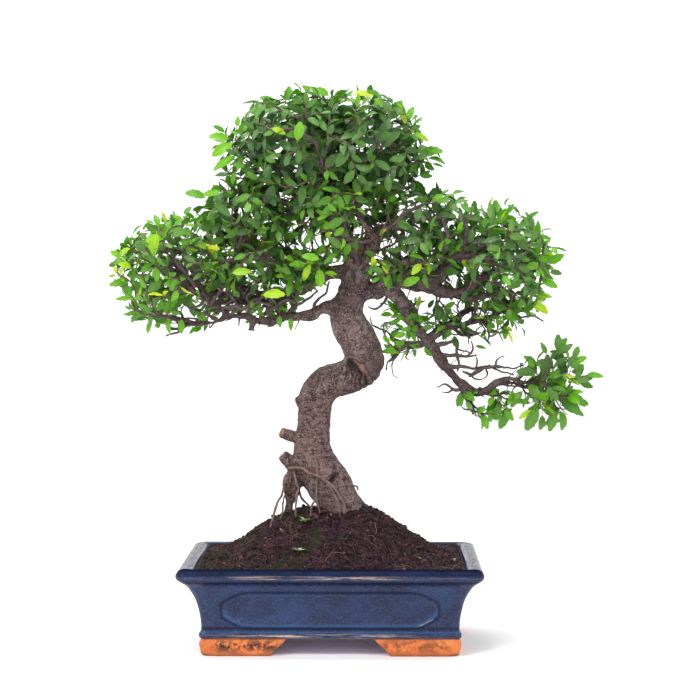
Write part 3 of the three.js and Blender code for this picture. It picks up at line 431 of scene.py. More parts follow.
# Leaves that stand out in the photograph: x, y and z of the foot, then where the tip points in x and z,
# and how bright the leaf is.
LONE_LEAVES = {
    "apex_left": [
        [-104, -20, 524, -22, 4, 0.82], [-98, -30, 520, -26, -11, 0.84], [-96, -34, 507, -26, -13, 0.78],
        [-33, -82, 517, 3, 22, 0.78], [-15, -10, 570, -15, 10, 0.74], [-2, 0, 570, -16, 9, 0.8],
        [-48, -20, 562, 5, 17, 0.7], [-56, -24, 561, -17, 7, 0.66], [-60, -74, 532, 15, -5, 0.92],
    ],
    "apex_right": [
        [58, -10, 549, 15, 15, 0.7], [76, -14, 541, 9, 17, 0.74], [98, -20, 505, 20, -5, 0.66],
        [92, -26, 512, 23, 0, 0.7], [21, -10, 571, 20, 1, 0.96], [34, -14, 567, 12, 5, 0.94],
        [84, -30, 530, 16, -8, 0.9],
    ],
    "shoulder": [[-128, -30, 463, -22, 8, 0.68], [-112, -50, 470, -18, -4, 0.8]],
    "left_outer": [
        [-208, -20, 378, -22, -4, 0.72], [-154, -40, 340, 0, -16, 0.74], [-167, -36, 340, -1, -16, 0.78],
        [-185, -30, 338, -6, -14, 0.7], [-176, -66, 428, -4, -24, 0.9], [-190, -58, 418, 20, 6, 0.88],
        [-206, -30, 412, -14, -6, 0.92],
    ],
    "left_inner": [
        [-53, -30, 343, 0, -13, 0.7], [-43, -26, 342, 2, -15, 0.74], [-70, -74, 364, 24, 3, 0.92],
        [-100, -78, 386, 20, 3, 0.9],
    ],
    "middle": [
        [12, -66, 411, -14, 12, 0.5], [8, -66, 407, -15, -11, 0.56], [21, -60, 419, -3, 14, 0.5],
        [-10, -70, 400, -18, 5, 0.82],
    ],
    "left_neck": [[-12, -56, 392, 2, -20, 0.84], [-20, -58, 396, -8, -17, 0.92]],
    "right_neck": [
        [42, -50, 404, 4, -15, 0.98], [52, -48, 398, 6, -12, 0.95], [72, -46, 373, 18, 9, 0.82],
    ],
    "right_outer": [
        [215, -20, 420, -2, 20, 0.7], [222, -20, 396, 18, 9, 0.72], [206, -24, 356, 18, -11, 0.93],
        [212, -20, 362, 16, 0, 0.9], [216, -16, 380, 18, -8, 0.8],
    ],
    "right_low": [[122, 16, 333, 1, -15, 0.7], [184, 20, 332, -2, -16, 0.78]],
    "cascade_tip": [
        [216, -20, 247, -16, -23, 0.55], [231, -22, 247, -5, -25, 0.62], [236, -20, 245, 6, -22, 0.66],
        [238, -18, 249, 25, -7, 0.58], [253, -14, 274, 18, 4, 0.5], [254, -14, 276, 7, 16, 0.56],
        [236, -12, 303, -1, 20, 0.5], [235, -12, 301, 15, 12, 0.5], [210, -18, 244, -16, -8, 0.92],
        [208, -16, 251, -21, 4, 0.6], [214, -10, 290, -14, 10, 0.6], [250, -16, 262, 14, -14, 0.6],
        [263, -15, 280, 19, 0, 0.7],
    ],
    "cascade_bend": [[184, -8, 243, -9, -19, 0.6], [149, -2, 310, 12, -2, 0.55]],
}
# Places where one sees through the canopy from the front: x, z and the half sizes.
CLEARINGS = [
    [-46, 465, 15, 6.5], [-14, 364, 12, 9], [-92, 470, 5, 4], [-112, 428, 5, 3], [60, 416, 11, 6],
    [36, 454, 6, 5], [40, 434, 7, 5], [22, 429, 6, 5], [70, 512, 4, 4], [50, 402, 7, 3],
    [126, 384, 4, 4], [-4, 418, 5, 3], [-66, 392, 5, 3], [93, 347, 5, 4], [136, 343, 6, 7],
    [-103, 452, 8, 3.5], [-53, 414, 5, 4], [78, 428, 6, 4], [98, 398, 6, 4], [52, 438, 6, 4],
    [72, 402, 7, 4], [12, 438, 5, 3.5], [-26, 440, 5, 3.5], [-78, 424, 5, 3.5], [-130, 404, 5, 3.5],
]
# Where the front of the canopy is thin and the limbs show: x, z, the half sizes and the share left out.
OPEN_PLACES = [
    [-104, 360, 76, 20, 0.85], [-162, 392, 32, 26, 0.6], [-94, 410, 24, 20, 0.6],
    [44, 422, 32, 28, 0.92], [18, 398, 26, 15, 0.8], [128, 364, 78, 20, 0.85],
    [130, 420, 26, 26, 0.5], [72, 446, 30, 14, 0.4], [-42, 366, 32, 13, 0.95],
    [-40, 426, 42, 24, 0.45],
]
# How much brighter than the rest the leaves of a pad are painted: painted light that lifts the shade
# inside the pad.
PAD_PAINTED_LIGHT = {
    "shoulder": 0.10, "left_outer": 0.20, "left_inner": 0.20, "left_neck": 0.16, "middle": 0.20,
    "right_inner": 0.12, "right_outer": 0.10, "right_neck": 0.12, "right_low": 0.16,
    "inner_low": 0.18, "inner_high": 0.16, "cascade_tip": 0.12, "cascade_bend": 0.18,
}
# The canopy seen from the front: the height of its upper and its lower edge across it.
CANOPY_TOP = [
    [-240, 372], [-221, 424], [-196, 442], [-159, 457], [-134, 477], [-122, 530], [-96, 545],
    [-71, 571], [-46, 584], [-21, 583], [4, 576], [42, 577], [67, 570], [80, 561], [92, 537],
    [105, 515], [130, 482], [155, 470], [180, 461], [205, 447], [218, 433], [236, 405],
]
CANOPY_BOTTOM = [
    [-240, 368], [-221, 348], [-196, 316], [-159, 318], [-134, 332], [-46, 330], [-22, 372],
    [-8, 372], [4, 394], [34, 392], [48, 370], [60, 372], [100, 352], [160, 336], [218, 337],
    [236, 372],
]
CANOPY_SIDES = [-222, 228]
# Below this height, on the right, are the cascade and what hangs.
CASCADE_TOP = 345
# How deep the light reaches into the canopy.
LIGHT_DEPTH = 35

SHOOT_LEAVES = 8
LEAF_PITCH = 5.2
LEAF_SLENDER = 0.52
LEAF_THICK = 0.16
STALK_THICK = 0.3
TWIG_STEP = 8
SHORTEST_TWIG = 14
THICKEST_TWIG = 9.0
# How far outside a pad its limbs may still carry twigs for it.
LIMB_REACH = 26
TWIG_TIP = 0.58
PIPE_POWER = 0.5


def unit(vectors):
    """Vectors made one long."""
    return vectors / np.maximum(np.linalg.norm(vectors, axis=-1, keepdims=True), 1e-9)


def bell(value):
    """1 at 0, and next to nothing from 2 on."""
    return np.exp(-(value**2))


def raise_mark(marks, channel, values):
    marks[:, channel] = np.maximum(marks[:, channel], values)


def noise(points, size, seed=0):
    """Smooth noise from -1 to 1 at each point, with lumps of the size given."""
    place = points / size + 31.7 * seed
    cell = np.floor(place).astype(np.int64)
    share = place - cell
    share = share * share * share * (share * (share * 6 - 15) + 10)
    total = np.zeros(len(points))
    for corner in product((0, 1), repeat=3):
        at = cell + corner
        mixed = (at[:, 0] * 73856093) ^ (at[:, 1] * 19349663) ^ (at[:, 2] * 83492791)
        mixed = (mixed ^ (mixed >> 13)) * 1274126177
        value = ((mixed ^ (mixed >> 16)) & 0xFFFF) / 32767.5 - 1
        total += value * np.prod(np.where(corner, share, 1 - share), axis=1)
    return total


def fractal(points, size, octaves, seed=0):
    """Noise of several sizes, each half the last and half as strong."""
    return sum(noise(points, size / 2**i, seed + i) / 2**i for i in range(octaves))


class Shape:
    """Surfaces gathered for one piece, with three marks at each corner for its material to read."""

    def __init__(self):
        self.points, self.quads, self.tris, self.marks = [], [], [], []
        self.count = 0

    def add(self, points, quads=None, tris=None, marks=(0, 0, 0)):
        points = np.asarray(points, float)
        self.points.append(points)
        self.marks.append(np.broadcast_to(np.asarray(marks, float), points.shape))
        for kept, faces in ((self.quads, quads), (self.tris, tris)):
            if faces is not None and len(faces):
                kept.append(np.asarray(faces) + self.count)
        self.count += len(points)

    def mesh(self, name):
        """The mesh in metres, in the part's frame."""
        points = np.vstack(self.points) * MM + POT_CENTRE
        faces = [np.vstack(kept) for kept in (self.quads, self.tris) if kept]
        corners = np.concatenate([kept.ravel() for kept in faces])
        sizes = np.concatenate([np.full(len(kept), kept.shape[1]) for kept in faces])
        mesh = bpy.data.meshes.new(name)
        mesh.vertices.add(len(points))
        mesh.vertices.foreach_set("co", points.astype(np.float32).ravel())
        mesh.loops.add(len(corners))
        mesh.loops.foreach_set("vertex_index", corners.astype(np.int32))
        mesh.polygons.add(len(sizes))
        starts = np.concatenate([[0], np.cumsum(sizes)[:-1]])
        mesh.polygons.foreach_set("loop_start", starts.astype(np.int32))
        mesh.update(calc_edges=True)
        write_marks(mesh, np.vstack(self.marks))
        mesh.shade_smooth()
        return mesh

    def piece(self, name, material, slot, replaced=()):
        return dressed(self.mesh(name), name, material, replaced)


def write_marks(mesh, marks):
    if "mark" not in mesh.attributes:
        mesh.attributes.new("mark", "FLOAT_VECTOR", "POINT")
    mesh.attributes["mark"].data.foreach_set("vector", marks.astype(np.float32).ravel())


def placed(name, data):
    """A new object in the scene."""
    item = bpy.data.objects.new(name, data)
    bpy.context.scene.collection.objects.link(item)
    return item


def modified_mesh(item):
    """The mesh of an object with its modifiers applied."""
    return bpy.data.meshes.new_from_object(item.evaluated_get(bpy.context.evaluated_depsgraph_get()))


def dressed(mesh, name, material, replaced=()):
    """An object of the mesh that rides on the part and takes the material given."""
    piece = placed(name, mesh)
    mesh.materials.append(material)
    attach(piece, "root")
    if replaced:
        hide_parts(*replaced)
    return piece


def smooth_line(rows, step):
    """Points about a step apart on a smooth curve through rows of [x, y, z, radius]."""
    rows = np.array(rows, float)
    full = np.vstack([2 * rows[0] - rows[1], rows, 2 * rows[-1] - rows[-2]])
    full[:, 3] = np.maximum(full[:, 3], 0.3)
    gaps = np.linalg.norm(np.diff(full[:, :3], axis=0), axis=1)
    knots = np.concatenate([[0], np.cumsum(np.sqrt(gaps))])
    parts = []
    for i in range(1, len(full) - 2):
        count = max(1, round(gaps[i] / step))
        t = np.linspace(knots[i], knots[i + 1], count, endpoint=False)[:, None]
        level = full[i - 1:i + 3]
        for near, far in ((i - 1, i), (i - 1, i + 1), (i, i + 1)):
            ends = zip(level, level[1:], knots[near:], knots[far:])
            level = [(a * (high - t) + b * (t - low)) / (high - low) for a, b, low, high in ends]
        parts.append(level[0])
    return np.vstack(parts + [rows[-1:]])


def loft_faces(rings, count, closed=False):
    """Quads between rings that follow each other, each of the count of points given."""
    place = np.arange(count)
    after = (place + 1) % count
    total = rings if closed else rings - 1
    here = (np.arange(total) * count)[:, None]
    there = ((np.arange(total) + 1) % rings * count)[:, None]
    return np.stack([here + place, here + after, there + after, there + place], axis=-1).reshape(-1, 4)


def end_fans(rings, count):
    """Triangles that close the first and the last ring, from two middle points put after the rings."""
    place = np.arange(count)
    after = (place + 1) % count
    middle = rings * count
    last = middle - count
    return np.vstack([
        np.stack([np.full(count, middle), after, place], axis=-1),
        np.stack([np.full(count, middle + 1), last + place, last + after], axis=-1),
    ])


def tube(line, sides):
    """A closed round tube along a line of [x, y, z, radius]: its points, quads and triangles."""
    points, radii = line[:, :3], line[:, 3]
    tangents = unit(np.gradient(points, axis=0))
    normal = unit(np.cross(tangents[0], [0.31, 0.17, 0.93]))
    turns = (np.arange(sides) * 2 * math.pi / sides)[:, None]
    rings = []
    for point, tangent, radius in zip(points, tangents, radii):
        normal = unit(normal - tangent * np.dot(normal, tangent))
        binormal = np.cross(tangent, normal)
        rings.append(point + radius * (np.cos(turns) * normal + np.sin(turns) * binormal))
    points = np.vstack(rings + [points[:1], points[-1:]])
    return points, loft_faces(len(line), sides), end_fans(len(line), sides)


class Look:
    """A node material: each call adds a node and gives back its output."""

    def __init__(self, name, roughness, specular=0.5):
        self.material = bpy.data.materials.new(name)
        self.material.use_nodes = True
        self.tree = self.material.node_tree
        self.shader = self.tree.nodes["Principled BSDF"]
        self.output = self.tree.nodes["Material Output"]
        self.shader.inputs["Roughness"].default_value = roughness
        self.shader.inputs["Specular IOR Level"].default_value = specular
        self.place = self.node("ShaderNodeTexCoord").outputs["Object"]

    def node(self, kind, inputs=None, **settings):
        made = self.tree.nodes.new(kind)
        for name, value in settings.items():
            setattr(made, name, value)
        for key, value in (inputs or {}).items():
            if isinstance(value, bpy.types.NodeSocket):
                self.tree.links.new(value, made.inputs[key])
            else:
                made.inputs[key].default_value = value
        return made

    def link(self, value, socket):
        self.tree.links.new(value, self.shader.inputs[socket])

    def marks(self):
        """The three marks of the place that is shaded."""
        vector = self.node("ShaderNodeAttribute", attribute_name="mark").outputs["Vector"]
        return self.node("ShaderNodeSeparateXYZ", {0: vector}).outputs

    def axes(self):
        """The coordinates of the place that is shaded, in metres."""
        return self.node("ShaderNodeSeparateXYZ", {0: self.place}).outputs

    def noise(self, size, detail=3, rough=0.55, stretch=None, warp=0):
        """Noise from 0 to 1 with lumps of a size in millimetres."""
        place = self.place
        if stretch:
            place = self.node("ShaderNodeMapping", {"Vector": place, "Scale": stretch}).outputs[0]
        inputs = {"Vector": place, "Scale": 1000 / size, "Detail": detail, "Roughness": rough}
        return self.node("ShaderNodeTexNoise", {**inputs, "Distortion": warp}).outputs["Fac"]

    def cells(self, size):
        """Distance from the middles of scattered cells of a size in millimetres."""
        inputs = {"Vector": self.place, "Scale": 1000 / size}
        return self.node("ShaderNodeTexVoronoi", inputs).outputs["Distance"]

    def ramp(self, value, stops):
        """A colour or a grey for each value, from stops of (value, colour or grey)."""
        made = self.node("ShaderNodeValToRGB", {"Fac": value})
        elements = made.color_ramp.elements
        while len(elements) < len(stops):
            elements.new(0.5)
        for element, (position, colour) in zip(elements, stops):
            element.position = position
            colour = colour if isinstance(colour, tuple) else (colour,) * 3
            element.color = (*colour, 1)
        return made.outputs["Color"]

    def rise(self, value, start, end, top=1.0):
        return self.ramp(value, [(start, 0.0), (end, top)])

    def fall(self, value, start, end, top=1.0):
        return self.ramp(value, [(start, top), (end, 0.0)])

    def maths(self, operation, a, b=0.0, clamp=False):
        inputs = {0: a, 1: b}
        return self.node("ShaderNodeMath", inputs, operation=operation, use_clamp=clamp).outputs[0]

    def times(self, a, b, clamp=False):
        return self.maths("MULTIPLY", a, b, clamp)

    def plus(self, a, b):
        return self.maths("ADD", a, b)

    def less(self, a, b):
        return self.maths("SUBTRACT", a, b)

    def off_half(self, value):
        """How far a value is from one half."""
        return self.maths("ABSOLUTE", self.less(value, 0.5))

    def mix(self, factor, a, b, blend="MIX"):
        a, b = [v if isinstance(v, bpy.types.NodeSocket) else (*v, 1) for v in (a, b)]
        inputs = {0: factor, 6: a, 7: b}
        return self.node("ShaderNodeMix", inputs, data_type="RGBA", blend_type=blend).outputs[2]

    def bump(self, height, distance, strength=1.0):
        """Relief of a distance in millimetres."""
        inputs = {"Height": height, "Distance": distance * MM, "Strength": strength}
        self.link(self.node("ShaderNodeBump", inputs).outputs[0], "Normal")


def leaf_look():
    look = Look("elm_leaf", roughness=0.34, specular=0.38)
    across, along, tint = look.marks()
    side = look.maths("ABSOLUTE", across)
    # The tint holds painted light as well as the leaves' own colour, so its brighter end stands partly for
    # light.
    colour = look.ramp(tint, [
        (0.0, (0.034, 0.092, 0.034)), (0.3, (0.082, 0.185, 0.056)), (0.5, (0.128, 0.280, 0.054)),
        (0.7, (0.150, 0.385, 0.030)), (0.86, (0.240, 0.510, 0.024)), (1.0, (0.600, 0.660, 0.030)),
    ])
    patches = look.times(look.noise(5, detail=2), 0.5)
    colour = look.mix(patches, colour, look.mix(1.0, colour, (0.62, 0.72, 0.6), "MULTIPLY"))
    rank = look.less(look.times(along, 9.0), look.times(side, 2.4))
    near = look.off_half(look.maths("FRACT", rank))
    vein = look.ramp(near, [(0.0, 1.0), (0.10, 0.35), (0.17, 0.0)])
    rib = look.ramp(side, [(0.0, 1.0), (0.05, 0.9), (0.11, 0.0)])
    lines = look.maths("MAXIMUM", look.times(vein, 0.45), rib)
    paler = look.mix(1.0, colour, (1.9, 1.45, 1.9), "MULTIPLY")
    colour = look.mix(look.times(lines, 0.5), colour, paler)
    look.link(colour, "Base Color")
    look.bump(look.less(0.0, lines), 0.12, 0.5)
    through = look.mix(1.0, colour, (2.0, 1.9, 0.7), "MULTIPLY")
    translucent = look.node("ShaderNodeBsdfTranslucent", {"Color": through}).outputs[0]
    inputs = {0: 0.4, 1: look.shader.outputs[0], 2: translucent}
    mixed = look.node("ShaderNodeMixShader", inputs).outputs[0]
    look.tree.links.new(mixed, look.output.inputs["Surface"])
    return look.material


def twig_look():
    look = Look("elm_twig", roughness=0.75)
    young = look.marks()[0]
    grain = look.noise(4, detail=4)
    old = look.ramp(grain, [(0.3, (0.042, 0.025, 0.025)), (0.7, (0.150, 0.095, 0.088))])
    fresh = look.ramp(grain, [(0.3, (0.170, 0.075, 0.050)), (0.7, (0.310, 0.155, 0.095))])
    look.link(look.mix(young, old, fresh), "Base Color")
    look.bump(grain, 0.3, 0.6)
    return look.material


def bark_look():
    look = Look("elm_bark", roughness=0.88, specular=0.25)
    crease_shade, cut, shade = look.marks()
    along, _, height = look.axes()
    broad = look.noise(28, detail=5, rough=0.6)
    fine = look.noise(6, detail=6, rough=0.72)
    grain = look.noise(1.7, detail=4, rough=0.75)
    red = look.ramp(height, [(0.12, 0.3), (0.20, 0.8), (0.25, 1.0), (0.275, 0.3), (0.31, 0.15)])
    red = look.times(red, look.ramp(broad, [(0.35, 0.45), (0.6, 1.0)]))
    colour = look.ramp(broad, [
        (0.38, (0.078, 0.048, 0.050)), (0.50, (0.165, 0.114, 0.111)), (0.60, (0.265, 0.225, 0.200)),
    ])
    colour = look.mix(red, colour, (0.155, 0.082, 0.078))
    colour = look.mix(look.rise(fine, 0.46, 0.58, 0.85), colour, (0.034, 0.019, 0.022))
    pale = look.rise(grain, 0.53, 0.63, 0.8)
    colour = look.mix(pale, colour, (0.360, 0.275, 0.245))
    dots = look.fall(look.cells(3.0), 0.12, 0.28, 0.9)
    colour = look.mix(dots, colour, (0.020, 0.012, 0.011))
    split = look.noise(13, detail=4, rough=0.6, stretch=(0.42, 0.42, 2.4))
    split = look.off_half(split)
    split = look.fall(split, 0.005, 0.014)
    split = look.times(split, look.ramp(look.noise(22, detail=2), [(0.44, 0.1), (0.56, 1.0)]))
    low = look.ramp(height, [(0.14, 0.3), (0.19, 1.0), (0.26, 0.9), (0.29, 0.2)])
    split = look.times(split, low)
    colour = look.mix(look.times(split, 0.95), colour, (0.014, 0.008, 0.008))
    # Painted shade in the knee's folds.
    fold_shade = knee_lines(look, along, height)
    colour = look.mix(fold_shade, colour, (0.022, 0.011, 0.011))
    # Painted shade in the creases and the crack.
    colour = look.mix(crease_shade, colour, (0.014, 0.007, 0.006))
    colour = look.mix(look.times(shade, 0.8), colour, (0.044, 0.029, 0.030))
    fresh = look.ramp(grain, [(0.3, (0.30, 0.09, 0.035)), (0.7, (0.50, 0.25, 0.13))])
    colour = look.mix(cut, colour, fresh)
    look.link(colour, "Base Color")
    relief = look.plus(fine, look.times(grain, 0.5))
    cracks = look.maths("MAXIMUM", look.maths("MAXIMUM", dots, split), fold_shade)
    look.bump(look.less(relief, look.times(cracks, 0.6)), 1.6, 1.0)
    return look.material


def knee_lines(look, along, height):
    """Painted shade in fine folds that fan out over the trunk's knee from the inside of the bend."""
    right = look.less(along, POT_CENTRE[0] + ELBOW[0] * MM)
    up = look.less(height, POT_CENTRE[2] + ELBOW[1] * MM)
    squares = [look.times(value, value) for value in (right, up)]
    far = look.maths("SQRT", look.plus(*squares))
    turn = look.plus(look.maths("ARCTAN2", up, right), look.times(far, 14.0))
    wander = look.times(look.noise(13, detail=3), 2.4)
    fan = look.maths("FRACT", look.plus(look.times(turn, 2.6), wander))
    near = look.off_half(fan)
    lines = look.fall(near, 0.04, 0.16)
    broken = look.ramp(look.noise(11, detail=2), [(0.36, 0.25), (0.50, 1.0)])
    reach = look.ramp(far, [(0.004, 0.0), (0.008, 1.0), (0.022, 0.9), (0.036, 0.0)])
    below = look.fall(look.times(up, 20.0), 0.0, 0.12)
    beside = look.rise(look.plus(right, 0.01), 0.0, 0.012)
    kept = look.times(look.times(below, beside), reach)
    return look.times(look.times(lines, broken), kept)


def root_look():
    look = Look("fine_root", roughness=0.8)
    grain = look.noise(4, detail=5, rough=0.7)
    height = look.axes()[2]
    low = look.ramp(grain, [(0.3, (0.070, 0.040, 0.036)), (0.7, (0.230, 0.145, 0.122))])
    high = look.ramp(grain, [(0.3, (0.034, 0.022, 0.023)), (0.7, (0.115, 0.078, 0.075))])
    look.link(look.mix(look.rise(height, 0.2, 0.24), low, high), "Base Color")
    look.bump(grain, 0.5, 0.8)
    return look.material


def soil_look():
    look = Look("potting_soil", roughness=0.95, specular=0.2)
    moss, tint, light = look.marks()
    coarse = look.noise(7, detail=6, rough=0.7)
    fine = look.noise(1.6, detail=4, rough=0.7)
    colour = look.ramp(coarse, [
        (0.38, (0.002, 0.001, 0.003)), (0.52, (0.017, 0.008, 0.014)), (0.64, (0.074, 0.032, 0.044)),
    ])
    colour = look.mix(light, colour, (0.200, 0.085, 0.085))
    colour = look.mix(look.rise(fine, 0.55, 0.66, 0.8), colour, (0.19, 0.078, 0.080))
    colour = look.mix(tint, colour, look.mix(fine, (0.30, 0.17, 0.11), (0.66, 0.56, 0.44)))
    green = look.mix(fine, (0.010, 0.015, 0.007), (0.042, 0.055, 0.018))
    colour = look.mix(moss, colour, green)
    look.link(colour, "Base Color")
    look.bump(look.plus(coarse, fine), 2.4, 1.0)
    return look.material


def fibre_look():
    look = Look("root_fibre", roughness=0.8)
    pale = look.marks()[1]
    grain = look.noise(3, detail=3)
    dark = look.mix(grain, (0.012, 0.005, 0.006), (0.070, 0.028, 0.027))
    look.link(look.mix(pale, dark, (0.38, 0.22, 0.15)), "Base Color")
    return look.material


def glaze_look():
    look = Look("blue_glaze", roughness=0.2)
    edge, painted_highlight, dark = look.marks()
    broad = look.noise(26, detail=4, rough=0.6, warp=0.4)
    fine = look.noise(1.7, detail=3, rough=0.7)
    colour = look.ramp(broad, [
        (0.34, (0.009, 0.014, 0.046)), (0.52, (0.014, 0.025, 0.078)), (0.68, (0.018, 0.038, 0.112)),
    ])
    colour = look.mix(look.rise(fine, 0.50, 0.66, 0.55), colour, (0.060, 0.095, 0.190))
    spots = look.fall(look.cells(9), 0.035, 0.075, 0.9)
    colour = look.mix(spots, colour, (0.10, 0.20, 0.36))
    # Painted shade: the dark mark darkens the glaze under the lip, above the bead, on the lip's top and
    # round the panels.
    colour = look.mix(dark, colour, (0.006, 0.008, 0.022))
    streak = look.noise(7, detail=5, rough=0.7, stretch=(0.16, 0.3, 3.5))
    broken = look.times(edge, look.rise(streak, 0.47, 0.56))
    cream = look.mix(fine, (0.28, 0.17, 0.11), (0.78, 0.62, 0.48))
    colour = look.mix(broken, colour, cream)
    # Painted highlight: this mark lightens the bead's top and the panels' lower bevels, which are also
    # glossier.
    colour = look.mix(painted_highlight, colour, (0.060, 0.14, 0.33))
    look.link(colour, "Base Color")
    speckle = look.noise(2.6, detail=3, rough=0.7)
    gloss = look.less(1.0, look.times(painted_highlight, 1.6, clamp=True))
    rough = look.times(look.ramp(speckle, [(0.46, 0.14), (0.60, 0.42)]), gloss)
    look.link(look.maths("MAXIMUM", rough, 0.07), "Roughness")
    # Reflections are also dimmed where the painted shade lies.
    dulled_in_shade = look.times(look.ramp(fine, [(0.42, 0.75), (0.62, 1.0)]), dark)
    shine = look.ramp(dulled_in_shade, [(0.2, 0.26), (0.7, 0.07)])
    shine = look.times(shine, look.less(1.0, front_lip(look)))
    look.link(shine, "Specular IOR Level")
    look.bump(look.plus(look.times(fine, 0.3), broad), 0.3, 0.4)
    return look.material


def front_lip(look):
    """Where the top of the front lip is, rubbed dull."""
    _, ahead, height = look.axes()
    front = look.less(POT_CENTRE[1] - (POT_DEPTH / 2 - LIP_WIDTH) * MM, ahead)
    front = look.times(front, 500.0, clamp=True)
    raised = look.less(height, POT_CENTRE[2] + LIP_BOTTOM * MM)
    return look.times(front, look.times(raised, 500.0, clamp=True))


def clay_look():
    look = Look("bare_clay", roughness=0.75)
    _, stain, base = look.marks()
    broad = look.noise(20, detail=4, rough=0.6)
    fine = look.noise(2, detail=4, rough=0.7)
    colour = look.ramp(broad, [(0.35, (0.56, 0.130, 0.032)), (0.65, (0.88, 0.260, 0.066))])
    colour = look.mix(look.rise(fine, 0.52, 0.7, 0.5), colour, (0.24, 0.06, 0.02))
    soot = look.rise(look.noise(8, detail=6, rough=0.75), 0.45, 0.52)
    colour = look.mix(look.times(soot, stain), colour, (0.016, 0.010, 0.007))
    height = look.axes()[2]
    low = look.fall(height, 0.001, 0.0045, 0.7)
    colour = look.mix(low, colour, (0.16, 0.055, 0.03))
    # Painted shade: the floor and the inner faces of the feet take the pale lavender of the shade under
    # the pot.
    colour = look.mix(base, colour, look.mix(broad, (0.66, 0.55, 0.74), (0.80, 0.68, 0.88)))
    look.link(colour, "Base Color")
    look.bump(look.plus(broad, fine), 0.5, 0.6)
    return look.material


def mesh_look():
    look = Look("drainage_plastic", roughness=0.5)
    look.link(look.ramp(look.noise(6), [(0.3, 0.012), (0.7, 0.03)]), "Base Color")
    return look.material


def floor_look():
    look = Look("studio_floor", roughness=0.9)
    look.shader.inputs["Base Color"].default_value = (0.92, 0.92, 0.92, 1)
    return look.material


# Leaves

BLADE_AT = np.array([0, 0.09, 0.19, 0.31, 0.43, 0.55, 0.67, 0.79, 0.9])
BLADE_TIP = 1.0


def blade_half():
    """Half of a leaf's toothed width at each station, as a share of its widest."""
    share = np.clip((BLADE_AT - BLADE_AT[1]) / (BLADE_TIP - BLADE_AT[1]), 0, 1)
    half = 2.13 * share**0.62 * (1 - share) ** 0.8
    toothed = np.where(np.arange(len(half)) % 2, 0.93, 1.06)
    half = half * toothed
    half[:2] = 0.06
    return half


BLADE_HALF = blade_half()


def blade_points(base, along, normal, length, slender, rng):
    """The points of closed toothed blades on short stalks, one blade for each row."""
    count = len(base)
    across = unit(np.cross(along, normal))
    up = np.cross(across, along)
    stations = len(BLADE_AT)
    bend = rng.uniform(0.05, 0.9, count)[:, None]
    fold = rng.uniform(0.05, 0.5, count)[:, None]
    width = (length * slender * rng.uniform(0.9, 1.12, count) / 2)[:, None]
    wave = rng.uniform(0, 2 * math.pi, count)[:, None]
    twist = rng.uniform(-0.35, 0.35, count)[:, None]
    length = length[:, None]
    along, across, up = along[:, None], across[:, None], up[:, None]
    at = np.append(BLADE_AT, BLADE_TIP)
    angle = bend * (at - 0.25)
    step = np.diff(at, prepend=0)
    ahead = np.cumsum(np.cos(angle) * step, axis=1) * length
    rise = -np.cumsum(np.sin(angle) * step, axis=1) * length
    spine = base[:, None] + ahead[..., None] * along + rise[..., None] * up
    angle, turn = angle[..., None], (twist * at)[..., None]
    upright = np.cos(angle) * up + np.sin(angle) * along
    forward = np.cos(angle) * along - np.sin(angle) * up
    side = across * np.cos(turn) + upright * np.sin(turn)
    upright = upright * np.cos(turn) - across * np.sin(turn)
    half = np.append(BLADE_HALF, 0) * width
    lift = fold * half + 0.05 * half * np.sin(9 * at + wave)
    lean = np.where(np.arange(stations + 1) % 2, 0, 0.02) * length
    lean[:, :2] = 0
    thick = np.full((stations + 1, 1), LEAF_THICK)
    thick[:2] = STALK_THICK
    edges = [
        spine + sign * side * half[..., None] + upright * lift[..., None] + forward * lean[..., None]
        for sign in (1, -1)
    ]
    ring = np.stack([spine + upright * thick, edges[0], spine - upright * thick, edges[1]], axis=2)
    return np.concatenate([ring[:, :stations].reshape(count, -1, 3), spine[:, -1:]], axis=1)


def add_leaves(shape, base, along, normal, length, tint, rng, slender=LEAF_SLENDER):
    """A leaf for each row, apart from those that would leave the part's box or hide a clearing."""
    along = unit(along)
    points = blade_points(base, along, normal, length, slender, rng)
    inside = np.all((points > BOX_LOW + BOX_ROOM) & (points < BOX_HIGH - BOX_ROOM), axis=(1, 2))
    inside &= np.all(points[:, :, 2] > POT_HEIGHT, axis=1)
    inside &= ~in_clearing(base + along * length[:, None] / 2)
    points, tint = points[inside], tint[inside]
    count = len(points)
    if not count:
        return
    stations = len(BLADE_AT)
    tip = stations * 4
    marks = np.zeros((tip + 1, 3))
    marks[:-1, 0] = np.tile([0, 1, 0, -1], stations)
    marks[:-1, 1] = np.repeat(BLADE_AT, 4)
    marks[-1, 1] = 1
    marks = np.tile(marks, (count, 1, 1))
    marks[:, :, 2] = tint[:, None]
    quads = np.vstack([loft_faces(stations, 4), [[3, 2, 1, 0]]])
    place = np.arange(4)
    tris = np.stack([np.full(4, tip), tip - 4 + place, tip - 4 + (place + 1) % 4], axis=-1)
    first = (np.arange(count) * (tip + 1))[:, None, None]
    quads, tris = (quads + first).reshape(-1, 4), (tris + first).reshape(-1, 3)
    shape.add(points.reshape(-1, 3), quads, tris, marks.reshape(-1, 3))


def sharpen_margins(mesh):
    """Keeps the two faces of each leaf apart in shading along the leaf's margin."""
    marks = np.empty(len(mesh.vertices) * 3, np.float32)
    mesh.attributes["mark"].data.foreach_get("vector", marks)
    margin = np.abs(marks[0::3]) > 0.5
    margin |= marks[1::3] > 0.99
    ends = np.empty(len(mesh.edges) * 2, np.int32)
    mesh.edges.foreach_get("vertices", ends)
    ends = ends.reshape(-1, 2)
    sharp = mesh.attributes.new("sharp_edge", "BOOLEAN", "EDGE")
    sharp.data.foreach_set("value", margin[ends[:, 0]] & margin[ends[:, 1]])


